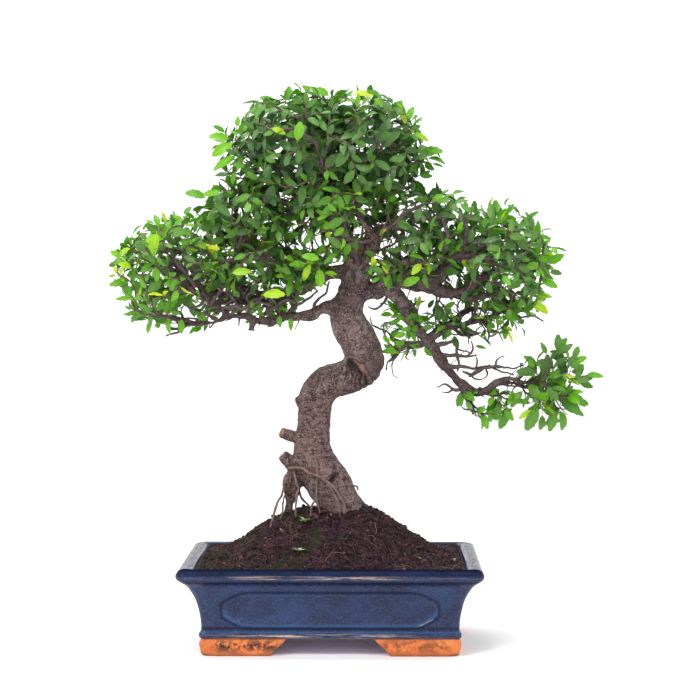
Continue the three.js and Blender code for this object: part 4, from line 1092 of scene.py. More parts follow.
def seen_at(points):
    """Where each place is seen from the front, as x and z in the tree's middle plane."""
    eye = np.array(CAMERA_PLACE, float)
    seen = eye + (points - eye) * (-eye[1] / (points[:, 1:2] - eye[1]))
    return seen[:, 0], seen[:, 2]


def in_clearing(points):
    """Whether each place lies in a clearing, seen from where the photograph was taken."""
    x, z = seen_at(points)
    within = [((x - cx) / rx) ** 2 + ((z - cz) / rz) ** 2 < 1 for cx, cz, rx, rz in CLEARINGS]
    return np.any(within, axis=0)


def thin_share(points):
    """The share of leaves left out at each place, in the front of the canopy's open places."""
    x, z = seen_at(points)
    share = np.zeros(len(points))
    for cx, cz, rx, rz, most in OPEN_PLACES:
        away = ((x - cx) / rx) ** 2 + ((z - cz) / rz) ** 2
        share = np.maximum(share, most * bell(away))
    return share * np.clip((25 - points[:, 1]) / 30, 0, 1)


def shoot_leaves(shape, path, outward, rng, count, lengths_between, tint_range):
    """Alternate leaves along the end of a shoot, and one at its tip."""
    lengths = np.linalg.norm(np.diff(path, axis=0), axis=1)
    reach = np.concatenate([[0], np.cumsum(lengths)])
    offsets = reach[-1] - np.cumsum(np.append(0, rng.uniform(0.75, 1.25, count - 1) * LEAF_PITCH))
    offsets = offsets[offsets > 2]
    base = np.stack([np.interp(offsets, reach, path[:, i]) for i in range(3)], axis=-1)
    kept = rng.random(len(offsets)) > thin_share(base)
    if not kept.any():
        return
    offsets, base = offsets[kept], base[kept]
    number = len(offsets)
    ahead = np.stack([np.interp(offsets + 3, reach, path[:, i]) for i in range(3)], axis=-1)
    behind = np.stack([np.interp(offsets - 3, reach, path[:, i]) for i in range(3)], axis=-1)
    heading = unit(ahead - behind)
    up = unit(np.array([0, 0, 0.55]) + 0.8 * outward + rng.normal(0, 0.25, 3))
    up = unit(up - heading * np.sum(heading * up, axis=1, keepdims=True))
    right = np.cross(heading, up)
    side = np.where((np.arange(number) + rng.integers(2)) % 2, 1.0, -1.0)[:, None]
    angle = rng.uniform(0.7, 1.15, number)[:, None]
    angle[0] = rng.uniform(0, 0.3)
    along = np.cos(angle) * heading + np.sin(angle) * side * right + rng.normal(0, 0.16, (number, 3))
    normal = unit(up + rng.normal(0, 0.56, (number, 3)))
    order = np.arange(number)
    grown = np.clip(0.72 + 0.12 * order, 0, 1) * np.where(order > 5, 0.86, 1)
    length = rng.uniform(*lengths_between, number) * grown
    tint = rng.uniform(*tint_range) + rng.normal(0, 0.09, number) + np.where(order < 2, 0.08, 0)
    add_leaves(shape, base, along, normal, length, np.clip(tint, 0, 1), rng)


# Twigs

def limb_lines():
    """Each limb as a gnarled line, and the trunk's thin upper end as the leader."""
    lines = {name: smooth_line(rows, 3) for name, rows in LIMBS.items()}
    for index, line in enumerate(lines.values()):
        bent = np.column_stack([noise(line[:, :3], 17, 7 * index + k) for k in range(3)])
        along = np.linspace(0, 1, len(line))[:, None]
        knotty = np.column_stack([noise(line[:, :3], 6.5, 5 * index + k + 2) for k in range(3)])
        line[:, :3] += (bent * 3.2 + knotty * 1.1) * np.minimum(along * 6, 1)
        line[:, 3] *= 1 + 0.28 * noise(line[:, :3], 7, 40 + index)
    lines["leader"] = smooth_line(TRUNK[-LEADER_ROWS:], 4)
    return lines


def canopy_edge(rows, x):
    """How high the canopy's upper or lower edge is at x."""
    return np.interp(x, *np.array(rows).T)


def open_light(tip):
    """How near the outside of the canopy a place is: 1 at its edge, 0 where no light reaches."""
    x, _, z = tip
    if z < CASCADE_TOP and x > 0:
        return 0.5
    room = min(canopy_edge(CANOPY_TOP, x) - z, x - CANOPY_TOP[0][0], CANOPY_TOP[-1][0] - x)
    return float(np.clip(1 - room / LIGHT_DEPTH, 0, 1))


def pad_tips(centre, half, count, rng):
    """Where shoots end in a pad: apart from each other, more of them near its surface."""
    tips = []
    gap = 1.15 * (4.19 * np.prod(half) / count) ** (1 / 3) * 0.62
    tries = 0
    while len(tips) < count and tries < 40000:
        tries += 1
        if tries % 2000 == 0:
            gap *= 0.9
        way = unit(rng.normal(0, 1, 3))
        tip = centre + half * way * rng.uniform(0.12, 1) ** 0.42 * 0.92
        if centre[2] > CASCADE_TOP and not in_canopy(tip):
            continue
        if tips and np.min(np.linalg.norm(np.array(tips) - tip, axis=1)) < gap:
            continue
        tips.append(tip)
    return np.array(tips)


def in_canopy(tip, room=6):
    """Whether a place is inside the canopy's outline, seen from the front."""
    x, _, z = tip
    within = canopy_edge(CANOPY_BOTTOM, x) + room < z < canopy_edge(CANOPY_TOP, x) - room
    return within and CANOPY_SIDES[0] < x < CANOPY_SIDES[1]


def twig_path(start, heading, tip, outward, rng):
    """A bent line from a place on the wood to a shoot's tip."""
    gap = np.linalg.norm(tip - start)
    leave = unit(0.6 * heading + unit(tip - start) + rng.normal(0, 0.12, 3))
    arrive = unit(unit(tip - start) + 0.45 * outward + np.array([0, 0, 0.25]) + rng.normal(0, 0.2, 3))
    one, two = start + leave * gap * 0.35, tip - arrive * gap * 0.35
    t = np.linspace(0, 1, max(3, round(gap / TWIG_STEP) + 1))[:, None]
    line = (1 - t) ** 3 * start + 3 * t * (1 - t) ** 2 * one + 3 * t**2 * (1 - t) * two + t**3 * tip
    line[1:-1] += rng.normal(0, 0.7, (len(line) - 2, 3))
    return line


class Growth:
    """The wood that a pad's twigs grow from, as places with a heading, a parent and a largest radius."""

    def __init__(self, lines, limbs, centre, half):
        self.places, self.headings, self.limits = [], [], []
        for limb in limbs:
            line = lines[limb]
            line = line[len(line) // 4:]
            tangent = unit(np.gradient(line[:, :3], axis=0))
            near = np.max(np.abs(line[:, :3] - centre) / (half + LIMB_REACH), axis=1) < 1
            self.places += list(line[near, :3])
            self.headings += list(tangent[near])
            self.limits += list(line[near, 3] * 0.8)
        self.parents = [-1] * len(self.places)

    def reach(self, tip, outward, rng):
        """Grows a twig from the best place to a tip: the places on it, its path and its way out."""
        points = np.array(self.places)
        away = tip - points
        far = np.linalg.norm(away, axis=1)
        straight = np.sum(unit(away) * np.array(self.headings), axis=1)
        cost = far * (1.25 - 0.3 * straight) + np.where(far < SHORTEST_TWIG, 1000, 0)
        parent = int(np.argmin(cost))
        path = twig_path(points[parent], self.headings[parent], tip, outward, rng)
        first = len(self.places)
        chain = [parent] + list(range(first, first + len(path) - 1))
        self.places += list(path[1:])
        self.headings += list(unit(np.gradient(path, axis=0))[1:])
        self.limits += [THICKEST_TWIG] * (len(path) - 1)
        self.parents += chain[:-1]
        return chain, path, outward

    def radii(self, shoots):
        """The radius at each place, from the number of shoots that it carries."""
        load = np.zeros(len(self.places))
        for chain, _, _ in shoots:
            node = chain[-1]
            while node >= 0:
                load[node] += 1
                node = self.parents[node]
        return np.minimum(TWIG_TIP * np.maximum(load, 1) ** PIPE_POWER, self.limits)


def add_twig(twigs, path, radii, rng):
    """The twig of a shoot, fresh and reddish where it is thin."""
    radii[0] = min(radii[0], radii[1] * 1.25)
    radii[-1] = TWIG_TIP * 0.6
    line = smooth_line(np.column_stack([path, radii]), 7)
    points, quads, tris = tube(line, 4)
    young = np.clip((1.0 - line[:, 3]) / 0.4, 0, 1) * rng.uniform(0, 0.8)
    marks = np.zeros((len(points), 3))
    marks[:-2, 0] = np.repeat(young, 4)
    marks[-1, 0] = young[-1]
    twigs.add(points, quads, tris, marks)


def add_lone_leaf(twigs, leaves, growth, radius, row, rng):
    """A leaf at a place of its own, on a thin twig from the wood nearest to it."""
    x, y, z, dx, dz, tint = row
    foot, tip_way = np.array([x, y, z], float), np.array([dx, -0.2 * abs(dx), dz], float)
    points = np.array(growth.places)
    parent = int(np.argmin(np.linalg.norm(points - foot, axis=1) + 30 * (points[:, 2] > z + 30)))
    path = twig_path(points[parent], growth.headings[parent], foot, unit(tip_way), rng)
    radii = np.linspace(min(0.7, radius[parent]), 0.35, len(path))
    line = smooth_line(np.column_stack([path, radii]), 6)
    twigs.add(*tube(line, 4), (0.4, 0, 0))
    facing = unit(np.array([[0.15 * np.sign(dx), -0.85, 0.55]]) + rng.normal(0, 0.2, (1, 3)))
    size = np.array([np.hypot(dx, dz) * 1.04])
    add_leaves(leaves, foot[None], tip_way[None], facing, size, np.array([tint]), rng)


def grow_pad(name, lines, leaf, twig):
    """The twigs and leaves of one pad."""
    centre, half, count, leaf_lengths, limbs, replaced = PADS[name]
    centre, half = np.array(centre, float), np.array(half, float)
    rng = np.random.default_rng(sum(map(ord, name)))
    growth = Growth(lines, limbs, centre, half)
    tips = pad_tips(centre, half, count, rng)
    wood = np.array(growth.places)
    order = np.argsort([np.min(np.linalg.norm(wood - tip, axis=1)) for tip in tips])
    shoots = [growth.reach(tip, unit((tip - centre) / half), rng) for tip in tips[order]]
    radius = growth.radii(shoots)
    twigs, leaves = Shape(), Shape()
    for chain, path, outward in shoots:
        add_twig(twigs, path, radius[chain], rng)
        shell = np.linalg.norm((path[-1] - centre) / half)
        # The tint holds painted light: it rises where light reaches the canopy's edge and by a set amount
        # for each pad. It also rises at a pad's shell, for young leaves there and as painted light; the
        # few yellow leaves are their own colour.
        tint = 0.16 + 0.30 * shell**3 + 0.26 * open_light(path[-1]) + 0.3 * (rng.random() < 0.08)
        tint += PAD_PAINTED_LIGHT.get(name, 0)
        number = round(rng.uniform(0.75, 1.3) * SHOOT_LEAVES * np.clip(1.9 * shell - 0.35, 0, 1))
        if number:
            tints = (tint - 0.12, tint + 0.12)
            shoot_leaves(leaves, path, outward, rng, number, leaf_lengths, tints)
    for row in LONE_LEAVES.get(name, []):
        add_lone_leaf(twigs, leaves, growth, radius, row, rng)
    twigs.piece("twigs_" + name, twig, "bark")
    piece = leaves.piece("leaves_" + name, leaf, "leaf", replaced)
    sharpen_margins(piece.data)


# Wood

def read_points(mesh):
    """The points of a mesh in millimetres about the pot, and its normals."""
    count = len(mesh.vertices)
    points = np.empty(count * 3, np.float32)
    normals = np.empty(count * 3, np.float32)
    mesh.vertices.foreach_get("co", points)
    mesh.vertex_normals.foreach_get("vector", normals)
    points, normals = [values.reshape(-1, 3).astype(float) for values in (points, normals)]
    return (points - POT_CENTRE) / MM, normals


def write_points(mesh, points, marks):
    mesh.vertices.foreach_set("co", (points * MM + POT_CENTRE).astype(np.float32).ravel())
    write_marks(mesh, marks)
    mesh.shade_smooth()
    mesh.update()


def remeshed(shape, name, voxel, smoothing):
    """Overlapping closed surfaces joined into one, with soft joins."""
    block = placed(name + "_rough", shape.mesh(name + "_rough"))
    remesh = block.modifiers.new("Remesh", "REMESH")
    remesh.mode = "VOXEL"
    remesh.voxel_size = voxel * MM
    smooth = block.modifiers.new("Smooth", "SMOOTH")
    smooth.factor = 0.6
    smooth.iterations = smoothing
    mesh = modified_mesh(block)
    bpy.data.objects.remove(block)
    mesh.name = name
    return mesh


def knee_folds(points):
    """Depth of the folds that fan out over the knee from the inside of the bend."""
    away = points[:, [0, 2]] - ELBOW
    far = np.hypot(away[:, 0], away[:, 1])
    angle = np.degrees(np.arctan2(away[:, 1], away[:, 0])) + 9 * noise(points, 15, 3)
    angle = angle + 0.8 * (far - 20)
    near = np.exp(-((np.linalg.norm(points - KNEE, axis=1) / 31) ** 4)) * np.clip((far - 3) / 6, 0, 1)
    depth = np.zeros(len(points))
    for direction, deep in FOLDS:
        wide = 1.1 + 0.02 * far
        depth += deep * bell((angle - direction) * np.radians(far) / wide)
    return 1.25 * depth * near


def add_wiry(shape, rows, sides):
    """A thin root or twig with small bends and thicker places."""
    line = smooth_line(rows, 2.2)
    bent = np.column_stack([noise(line[:, :3], 6, k) for k in range(3)])
    line[:, :3] += bent * np.minimum(line[:, 3:], 1.2) * 0.9
    line[:, 3] *= 1 + 0.3 * noise(line[:, :3], 4, 5)
    shape.add(*tube(line, sides))


def add_spurs(shape, lines):
    """Short bare side twigs along the thinner parts of the limbs."""
    rng = np.random.default_rng(17)
    for line in lines.values():
        tangent = unit(np.gradient(line[:, :3], axis=0))
        for place in range(len(line) // 5, len(line) - 1, 3):
            limb = line[place, 3]
            if limb > 6 or rng.random() < 0.2:
                continue
            way = rng.normal(0, 1, 3) + [0, -0.2, 0.3]
            way = unit(unit(way - tangent[place] * np.dot(way, tangent[place])) + 0.5 * tangent[place])
            thick = rng.uniform(0.55, 0.95)
            length = limb + rng.uniform(5, 17)
            middle = line[place, :3] + way * length * 0.55
            end = line[place, :3] + way * length + rng.normal(0, 0.22, 3) * length
            rows = [[*line[place, :3], thick * 1.5], [*middle, thick], [*end, 0.4]]
            add_wiry(shape, rows, 4)


def thick_count(line):
    """How many points of a limb's line belong to the trunk's piece."""
    return int(np.sum(line[:, 3] > LIMB_END))


def make_limb_ends(lines, look):
    """The fine roots, the bare twigs and the thin ends of the limbs."""
    ends = Shape()
    for rows in FINE_ROOTS:
        add_wiry(ends, np.array(rows) * [1, 1, 1, ROOT_SLIM], 6)
    for rows in BARE_TWIGS:
        add_wiry(ends, np.array(rows) * [1, 1, 1, TWIG_STOUT], 5)
    for line in lines.values():
        thick = thick_count(line)
        if thick < len(line) - 1:
            ends.add(*tube(line[max(thick - 2, 0):], 8))
    add_spurs(ends, lines)
    ends.piece("limb_ends", look, "bark")


def bark_rings(points):
    """Depth of the broken creases that run round the trunk."""
    depth = np.zeros(len(points))
    for index in range(11):
        height = 150 + 11 * index
        level = height + 7 * noise(points, 20, index) + 2 * noise(points, 7, index + 30)
        ring = bell((points[:, 2] - level) / 1.2)
        depth += 0.8 * ring * np.clip(noise(points, 17, index + 20) * 2.2 - 0.1, 0, 1)
    return depth * (np.hypot(points[:, 0] + 14, points[:, 1]) < 32)


def front_crack(points):
    """How near each point is to the slanting crack in the front of the trunk."""
    x, z = points[:, 0] - CRACK[0], points[:, 2] - CRACK[1]
    away = np.abs(x) / 8 + np.abs(z - x * 0.7) / 6
    return np.clip(1.4 - away, 0, 1) * (points[:, 1] < 0)


def knee_scar(points):
    """How near each point is to the lens-shaped scar in the front of the knee."""
    x, z = points[:, 0] - LENS[0], points[:, 2] - LENS[1]
    away = np.hypot((x * 0.6 - z * 0.8) / 7, (x * 0.8 + z * 0.6) / 2)
    return np.clip(1.6 - away, 0, 1) * (points[:, 1] < 0)


def trunk_marks(points, creases, scar, crack):
    """Where the bark is creased, with painted shade in the creases and the crack, freshly cut and shaded.
    """
    x, y, z = points.T
    marks = np.zeros((len(points), 3))
    # The first mark is painted shade in the creases and the crack.
    marks[:, 0] = np.clip((creases - 0.5) / 1.5, 0, 1) * 0.9 * (1 - scar)
    raise_mark(marks, 0, crack)
    raise_mark(marks, 1, scar * 0.25)
    for place, radius, edge, fresh in CUTS:
        away = np.linalg.norm(points - place, axis=1)
        raise_mark(marks, 1, np.clip(1 - (away - radius) / edge, 0, 1) * fresh)
    marks[:, 2] = np.clip((np.hypot(x - 20, y) - 34) / 60, 0, 1) * 0.75 * (z > 240)
    outer_knee = ((x - 50) / 12) ** 2 + ((z - 293) / 17) ** 2
    raise_mark(marks, 2, 0.5 * np.exp(-outer_knee))
    return marks


def make_trunk(lines, bark):
    rough = Shape()
    rough.add(*tube(smooth_line(TRUNK, 5), 28))
    for rows in BURLS + ROOTS:
        rough.add(*tube(smooth_line(rows, 2.5), 12))
    for name, line in lines.items():
        thick = thick_count(line)
        if name != "leader" and thick > 1:
            rough.add(*tube(line[:thick + 1], 12))
    mesh = remeshed(rough, "trunk_wood", WOOD_VOXEL, 3)
    points, normals = read_points(mesh)
    lumps = 1.1 * fractal(points, 26, 2, 1) * np.clip((points[:, 2] - 90) / 60, 0.5, 1)
    grain = 0.55 * fractal(points, 5, 3, 5)
    creases = bark_rings(points) + knee_folds(points)
    scar, crack = knee_scar(points), front_crack(points)
    marks = trunk_marks(points, creases, scar, crack)
    depth = lumps + grain - creases * (1 - scar) - 2 * crack
    write_points(mesh, points + normals * depth[:, None], marks)
    dressed(mesh, "trunk_wood", bark, ["trunk"])


# Pot

def rounded_ring(inset, corner, pitch, steps=8):
    """A rectangle with round corners, anticlockwise from above, with points a pitch apart on its sides."""
    half = np.array([POT_LENGTH, POT_DEPTH]) / 2 - inset - corner
    points = []
    signs = [(1, 1), (-1, 1), (-1, -1), (1, -1)]
    for quarter, (sx, sy) in enumerate(signs):
        angles = (quarter + np.linspace(0, 1, steps + 1)) * math.pi / 2
        arc = np.column_stack([
            sx * half[0] + corner * np.cos(angles), sy * half[1] + corner * np.sin(angles),
        ])
        points.append(arc)
        side = POT_LENGTH if quarter % 2 == 0 else POT_DEPTH
        count = round(side / pitch)
        nx, ny = signs[(quarter + 1) % 4]
        turn = (quarter + 1) * math.pi / 2
        end = np.array([nx * half[0] + corner * math.cos(turn), ny * half[1] + corner * math.sin(turn)])
        share = np.arange(1, count)[:, None] / count
        points.append(arc[-1] + (end - arc[-1]) * share)
    return np.vstack(points)


def level_ring(inset, z, pitch, corner=None, steps=8):
    """A ring at a height, with the pot's own corners unless others are given."""
    corner = corner_at(inset) if corner is None else corner
    flat = rounded_ring(inset, corner, pitch, steps)
    return np.column_stack([flat, np.full(len(flat), z)])


def corner_at(inset):
    """The radius of the pot's corners, smaller further in."""
    return max(3, 9 - inset * 0.15)


def panel_inside(along, z, half_length):
    """How far a place on a side lies inside the sunk panel's outline."""
    long = half_length - PANEL_CHAMFER
    short = PANEL_HALF_HEIGHT * 0.4
    away = np.abs(along)
    up = np.full_like(away, abs(z - PANEL_MIDDLE))
    slope = np.array([PANEL_HALF_HEIGHT - short, PANEL_CHAMFER])
    slope = slope / np.linalg.norm(slope)
    cut = (long - away) * slope[0] + (PANEL_HALF_HEIGHT - up) * slope[1]
    sides = np.stack([half_length - away, PANEL_HALF_HEIGHT - up, cut])
    return -np.log(np.sum(np.exp(-sides / 1.6), axis=0)) * 1.6


def profile(rows, step):
    """Points on a smooth outline through rows of [inset, height]."""
    rows = [[x, 0, z, 1] for x, z in rows]
    return smooth_line(rows, step)[:, [0, 2]]


def make_pot(glaze, clay):
    outside = profile(OUTSIDE, 1.2)
    section = np.vstack([outside, profile(INSIDE, 3.5)])
    rings = [level_ring(inset, z, 2.2) for inset, z in section]
    marks = [np.zeros_like(ring) for ring in rings]
    for ring, mark, (inset, z) in zip(rings, marks, outside):
        sink_panels(ring, mark, inset, z)
    count = len(rings[0])
    points, marks = np.vstack(rings), np.vstack(marks)
    inset = np.repeat(section[:, 0], count)
    middle = np.exp(-(((points[:, 0] + 15) / 80) ** 4))
    for (band_inset, height), spread, strength, channel in GLAZE_BANDS:
        away = (inset - band_inset) ** 2 + (points[:, 2] - height) ** 2
        shown = 0.1 + 0.9 * middle if channel == WORN else 1
        raise_mark(marks, channel, np.exp(-(away / spread**2)) * strength * shown)
    across = points * [1 / POT_LENGTH, 1 / POT_DEPTH, 0]
    uneven = 0.25 * fractal(points, 24, 2, 3) - 0.4
    points = points + unit(across) * uneven[:, None]
    body = Shape()
    body.add(points, loft_faces(len(rings), count, closed=True), marks=marks)
    body.piece("pot_body", glaze, "glaze", ["pot"])
    make_floor(clay)
    make_feet(clay)


def sink_panels(ring, mark, inset, z):
    """Sinks the long octagon in each side of the pot, and marks painted shade along its edge and a painted
    highlight on its bevel, stronger below.
    """
    sides = ((0, PANEL_HALF_LENGTH, POT_DEPTH), (1, PANEL_HALF_DEPTH, POT_LENGTH))
    for axis, half_length, size in sides:
        other = 1 - axis
        on_side = np.abs(ring[:, other]) > size / 2 - inset - 0.01
        deep = panel_inside(ring[:, axis], z, half_length)
        sunk = np.clip(deep / 2.6, 0, 1)
        ring[:, other] -= np.sign(ring[:, other]) * sunk**2 * (3 - 2 * sunk) * on_side * PANEL_DEPTH
        raise_mark(mark, PAINTED_SHADE, bell((deep + 0.4) / 1.3) * on_side * 0.8)
        bevel_highlight = bell((deep - 2.6) / 1.2) * on_side
        raise_mark(mark, PAINTED_HIGHLIGHT, bevel_highlight * (0.4 if z < PANEL_MIDDLE else 0.15))


def make_floor(clay):
    """The pot's floor, with its two drainage holes."""
    levels = [
        [BODY_INSET + 0.8, FOOT_HEIGHT], [BODY_INSET + 0.8, FOOT_HEIGHT + 4], [33.6, FLOOR_TOP],
    ]
    rings = [level_ring(inset, z, 6, corner=5, steps=3) for inset, z in levels]
    count = len(rings[0])
    middles = [[0, 0, levels[0][1]], [0, 0, levels[-1][1]]]
    plate = Shape()
    plate.add(np.vstack(rings + [middles]), loft_faces(len(rings), count), end_fans(len(rings), count))
    piece = plate.piece("pot_floor", clay, "glaze")
    for x in (-DRAIN_X, DRAIN_X):
        line = np.array([[x, 0, z, DRAIN_RADIUS] for z in (0, 20, 40)], float)
        drill = Shape()
        drill.add(*tube(line, 32))
        cutter = placed("drill", drill.mesh("drill"))
        cut = piece.modifiers.new("Hole", "BOOLEAN")
        cut.operation = "DIFFERENCE"
        cut.object = cutter
        mesh = modified_mesh(piece)
        piece.modifiers.clear()
        piece.data = mesh
        bpy.data.objects.remove(cutter)
    # The whole floor takes the painted lavender shade of the pot's underside.
    write_marks(piece.data, np.tile([0.0, 0.0, 1.0], len(piece.data.vertices)))
    piece.data.shade_flat()


def foot_bar(length, reach):
    """A bar of a foot along X, from the pot's corner inwards: slanted inside, rounded outside."""
    outline = [
        [-13, 0], [FOOT_SLANT - length, 0], [4 - length, 14.5], [-length, FOOT_HEIGHT + 1],
        [0, FOOT_HEIGHT + 1], [1.4, 13], [0.9, 8.5], [-1.6, 4.2], [-6, 1.1],
    ]
    points = np.array([[x, y, z] for y in (0, -reach) for x, z in outline], float)
    count = len(outline)
    faces = loft_faces(2, count)
    place = np.arange(1, count - 1)
    low = np.stack([np.zeros(count - 2, int), place + 1, place], axis=-1)
    high = np.stack([np.zeros(count - 2, int), place, place + 1], axis=-1) + count
    return points, faces, np.vstack([low, high])


def turned_out(points, quads, tris):
    """The faces turned to look outwards."""
    corners = points[np.vstack([tris, quads[:, :3], quads[:, [0, 2, 3]]])]
    volume = np.sum(np.cross(corners[:, 0], corners[:, 1]) * corners[:, 2])
    return (quads, tris) if volume > 0 else (quads[:, ::-1], tris[:, ::-1])


def make_feet(clay):
    """Four feet, each two bars that meet under a corner of the pot, with soft edges."""
    rough = Shape()
    x = POT_LENGTH / 2 - BODY_INSET
    y = POT_DEPTH / 2 - BODY_INSET
    for sx, sy in product((1, -1), repeat=2):
        for length, turned in ((FOOT_LENGTH, False), (FOOT_DEPTH, True)):
            points, quads, tris = foot_bar(length, FOOT_WIDTH)
            if turned:
                points = points[:, [1, 0, 2]]
            points = (points + [x, y, 0]) * [sx, sy, 1]
            rough.add(points, *turned_out(points, quads, tris))
    mesh = remeshed(rough, "pot_feet", CLAY_VOXEL, 9)
    points, normals = read_points(mesh)
    points[:, 2] = np.maximum(points[:, 2] - 0.5, 0)
    moved = points + normals * (0.35 * fractal(points, 9, 3, 2))[:, None] * [1, 1, 0]
    marks = np.zeros((len(points), 3))
    face = np.clip(1 - np.abs(points[:, 2] - 10.5) / 7.5, 0, 1) ** 0.5
    marks[:, 1] = face * np.clip((np.abs(points[:, 0]) - 46) / 12, 0, 1)
    marks[:, 1] *= np.clip((124 - np.abs(points[:, 0])) / 8, 0.2, 1)
    marks[:, 1] *= np.where(points[:, 0] < 0, 1, 0.6)
    # The inner faces of the feet take the painted lavender shade of the pot's underside.
    deep = np.minimum(x - np.abs(points[:, 0]), y - np.abs(points[:, 1]))
    marks[:, 2] = np.clip((deep - 9) / 4, 0, 0.9)
    write_points(mesh, moved, marks)
    dressed(mesh, "pot_feet", clay, ["pot"])


# Soil

def soil_height(x, y):
    """The height of the mound, with a small rise on the right of the trunk."""
    away = np.hypot(x - MOUND_X, y * POT_LENGTH / POT_DEPTH) / MOUND_REACH
    beside = 5 * np.exp(-(((x - 40) / 22) ** 2) - (y / 24) ** 2)
    return SOIL_EDGE + MOUND_RISE * np.exp(-(away**3)) + beside


def wall_share(place):
    """How far out a place on the soil is: 0 in the middle, 1 at the pot's wall."""
    return np.max(np.abs(place[:2]) / SOIL_HALF)


def moss_at(x, y):
    """How mossy the soil is: mostly on its left and along the front."""
    flat = np.column_stack([x, y, np.zeros(len(x))])
    patch = fractal(flat, 22, 4, 11)
    lean = np.clip((20 - x) / 120, -0.5, 0.6)
    return np.clip((patch + lean - 0.3) * 0.9, 0, 0.55)


def make_soil(soil, fibre):
    rng = np.random.default_rng(5)
    wall = [[inset + SOIL_GAP, z] for inset, z in INSIDE[2:]][::-1]
    wall[0][1] = FLOOR_TOP + SOIL_GAP
    rings = [level_ring(inset, z, 2.6) for inset, z in profile(wall, 6)]
    edge = rings[-1].copy()
    shares = np.concatenate([[0.995, 0.985], np.linspace(0.97, 0.02, 62)])
    for share in shares:
        x, y = edge[:, 0] * share, edge[:, 1] * share
        rings.append(np.column_stack([x, y, soil_height(x, y)]))
    count = len(edge)
    points = np.vstack(rings)
    top = np.arange(len(points)) >= (len(rings) - len(shares)) * count
    flat = points * [1, 1, 0]
    rough = 2.4 * fractal(flat, 8, 4, 2) + 1.4 * np.clip(fractal(flat, 30, 2, 9), -1, 1)
    share = np.repeat(np.append(np.ones(len(rings) - len(shares)), shares), count)
    points[:, 2] += rough * top * np.clip((0.995 - share) * 40, 0, 1) - 0.4 * top
    marks = np.zeros_like(points)
    marks[:, 0] = moss_at(points[:, 0], points[:, 1]) * top
    points = np.vstack([points, [[0, 0, FLOOR_TOP + SOIL_GAP], [0, 0, points[-count:, 2].mean()]]])
    marks = np.vstack([marks, np.zeros((2, 3))])
    bed = Shape()
    bed.add(points, loft_faces(len(rings), count), end_fans(len(rings), count), marks)
    bed.piece("soil_bed", soil, "soil", ["soil"])
    surface = points[top.nonzero()[0]]
    make_crumbs(surface, soil, rng)
    make_fibres(surface, fibre, rng)
    make_moss(surface, soil, rng)
    make_seedlings(rng)


def scatter(surface, count, rng, weight=None):
    """Places picked from the soil's surface, away from its middle where they crowd."""
    spread = np.hypot(surface[:, 0], surface[:, 1]) + 4
    chance = spread if weight is None else spread * weight
    picks = rng.choice(len(surface), count, replace=False, p=chance / chance.sum())
    return surface[picks] + rng.normal(0, 0.7, (count, 3)) * [1, 1, 0]


def lump_points():
    """The corners and faces of a small ball with 20 faces."""
    gold = (1 + 5**0.5) / 2
    corners = np.array([
        [-1, gold, 0], [1, gold, 0], [-1, -gold, 0], [1, -gold, 0], [0, -1, gold], [0, 1, gold],
        [0, -1, -gold], [0, 1, -gold], [gold, 0, -1], [gold, 0, 1], [-gold, 0, -1], [-gold, 0, 1],
    ])
    near = np.linalg.norm(corners[:, None] - corners[None], axis=-1)
    faces = []
    for a in range(12):
        for b in range(a + 1, 12):
            for c in range(b + 1, 12):
                if max(near[a, b], near[b, c], near[a, c]) < 2.1:
                    out = np.dot(np.cross(corners[b] - corners[a], corners[c] - corners[a]), corners[a])
                    faces.append([a, b, c] if out > 0 else [a, c, b])
    return unit(corners), np.array(faces)


def make_crumbs(surface, soil, rng):
    corners, faces = lump_points()
    crumbs = Shape()
    for place in scatter(surface, CRUMBS, rng):
        size = rng.uniform(0.4, 1.1) + 2.2 * rng.random() ** 6
        squash = rng.uniform(0.55, 1.1, 3)
        turned = corners @ np.linalg.qr(rng.normal(0, 1, (3, 3)))[0]
        lump = turned * squash * size * rng.uniform(0.75, 1.2, (12, 1))
        volume = np.sum(np.cross(lump[faces[:, 0]], lump[faces[:, 1]]) * lump[faces[:, 2]])
        fixed = faces if volume > 0 else faces[:, ::-1]
        place = place + [0, 0, size * 0.1]
        if wall_share(place) > 0.985:
            continue
        pale = rng.uniform(0.4, 0.9) * (rng.random() < 0.008)
        moss = moss_at(place[:1], place[1:2])[0] * rng.random()
        crumbs.add(place + lump, None, fixed, (moss, pale, rng.random() ** 4))
    piece = crumbs.piece("soil_crumbs", soil, "soil")
    piece.data.shade_flat()


def make_fibres(surface, fibre, rng):
    fibres = Shape()
    for place in scatter(surface, FIBRES, rng):
        heading = rng.uniform(0, 2 * math.pi)
        rows = []
        thick = rng.uniform(0.1, 0.19) + 0.4 * rng.random() ** 9
        at = place[:2].copy()
        for step in range(int(rng.integers(3, 8))):
            if wall_share(at) > 0.97:
                break
            lift = rng.uniform(0.2, 2.2)
            rows.append([at[0], at[1], soil_height(at[0], at[1]) + lift, thick])
            heading += rng.normal(0, 0.6)
            at = at + 4.5 * np.array([math.cos(heading), math.sin(heading)])
        if len(rows) < 3:
            continue
        rows[0][2] -= 2
        rows[-1][2] -= 2
        fibres.add(*tube(smooth_line(rows, 3), 3), (0, 0.6 * rng.random() ** 8, 0))
    fibres.piece("soil_fibres", fibre, "soil")


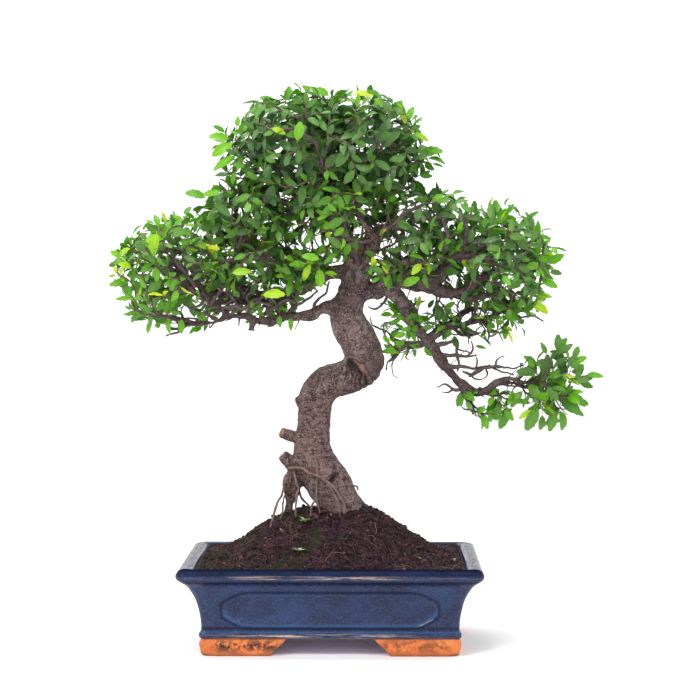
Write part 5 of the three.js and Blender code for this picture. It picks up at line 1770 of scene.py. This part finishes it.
def make_moss(surface, soil, rng):
    tufts = Shape()
    weight = moss_at(surface[:, 0], surface[:, 1]) ** 2 + 1e-4
    for place in scatter(surface, TUFTS, rng, weight):
        if wall_share(place) > 0.98:
            continue
        high = rng.uniform(0.9, 2.4)
        lean = rng.normal(0, 0.5, 2)
        turn = rng.uniform(0, 2 * math.pi) + np.arange(3) * 2 * math.pi / 3
        wide = rng.uniform(0.25, 0.5)
        foot = np.column_stack([wide * np.cos(turn), wide * np.sin(turn), np.full(3, -0.8)])
        points = place + np.vstack([foot, [[lean[0], lean[1], high]]])
        tufts.add(points, None, [[0, 1, 3], [1, 2, 3], [2, 0, 3], [0, 2, 1]], (1, 0, 0))
    tufts.piece("soil_moss", soil, "soil")


def seedling_look():
    look = Look("seedling_leaf", roughness=0.6)
    patches = look.noise(3, detail=3)
    look.link(look.mix(patches, (0.15, 0.28, 0.075), (0.36, 0.48, 0.20)), "Base Color")
    return look.material


def make_seedlings(rng):
    leaves = Shape()
    for x, y, size in SEEDLINGS:
        z = soil_height(x, y)
        number = 6 if size > 6 else 3
        turn = rng.uniform(0, 6) + np.arange(number) * 2.4
        along = np.column_stack([np.cos(turn), np.sin(turn), rng.uniform(0.15, 0.9, number)])
        base = np.tile([x, y, z + 1.0], (number, 1)) + along * 0.4
        normal = np.tile([0, 0, 1.0], (number, 1)) + rng.normal(0, 0.1, (number, 3))
        length = np.full(number, size) * rng.uniform(0.7, 1.1, number)
        add_leaves(leaves, base, along, normal, length, np.zeros(number), rng, 0.8)
    piece = leaves.piece("seedlings", seedling_look(), "leaf")
    sharpen_margins(piece.data)


# Studio

def area_light(name, place, size, power):
    light = bpy.data.lights.new(name, "AREA")
    light.shape = "DISK"
    light.size = size
    light.energy = power
    lamp = placed(name, light)
    lamp.location = place
    lamp.rotation_euler = (Vector(LIT_PLACE) - Vector(place)).to_track_quat("-Z", "Y").to_euler()


def make_ground():
    ground = Shape()
    corners = [[GROUND_REACH * x, GROUND_REACH * y, 0] for x, y in ((-1, -1), (1, -1), (1, 1), (-1, 1))]
    ground.add(corners, [[0, 1, 2, 3]])
    ground = placed("studio_floor", ground.mesh("studio_floor"))
    ground.data.materials.append(floor_look())


def make_sky():
    """White light from all sides, stronger from behind."""
    world = bpy.data.worlds.new("studio")
    bpy.context.scene.world = world
    world.use_nodes = True
    nodes, links = world.node_tree.nodes, world.node_tree.links
    way = nodes.new("ShaderNodeTexCoord")
    parts = nodes.new("ShaderNodeSeparateXYZ")
    links.new(way.outputs["Generated"], parts.inputs[0])
    shade = nodes.new("ShaderNodeMapRange")
    links.new(parts.outputs["Y"], shade.inputs["Value"])
    for socket, value in (("From Min", -0.6), ("From Max", 0.6), ("To Min", 0.75), ("To Max", 1.4)):
        shade.inputs[socket].default_value = value
    sky = nodes["Background"]
    sky.inputs["Color"].default_value = (1, 1, 1, 1)
    links.new(shade.outputs[0], sky.inputs["Strength"])


def make_studio():
    make_ground()
    make_sky()
    for name, (place, size, power) in LAMPS.items():
        area_light(name, place, size, power)
    bpy.context.scene.view_settings.view_transform = "Standard"


def make_camera():
    data = bpy.data.cameras.new("camera")
    data.sensor_width = 36
    data.lens = FOCAL_PIXELS / PICTURE_PIXELS * data.sensor_width
    camera = placed("camera", data)
    camera.location = np.array(CAMERA_PLACE) * MM + POT_CENTRE
    camera.rotation_euler = (math.radians(90 - CAMERA_PITCH), 0, math.radians(CAMERA_PAN))
    bpy.context.scene.camera = camera


make_camera()
make_studio()
leaf, twig = leaf_look(), twig_look()
lines = limb_lines()
make_limb_ends(lines, root_look())
make_trunk(lines, bark_look())
for pad in PADS:
    grow_pad(pad, lines, leaf, twig)
make_pot(glaze_look(), clay_look())
make_soil(soil_look(), fibre_look())
plastic = mesh_look()
for node in ("drainage_mesh_left", "drainage_mesh_right"):
    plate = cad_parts[node]
    plate.data.materials.clear()
    plate.data.materials.append(plastic)
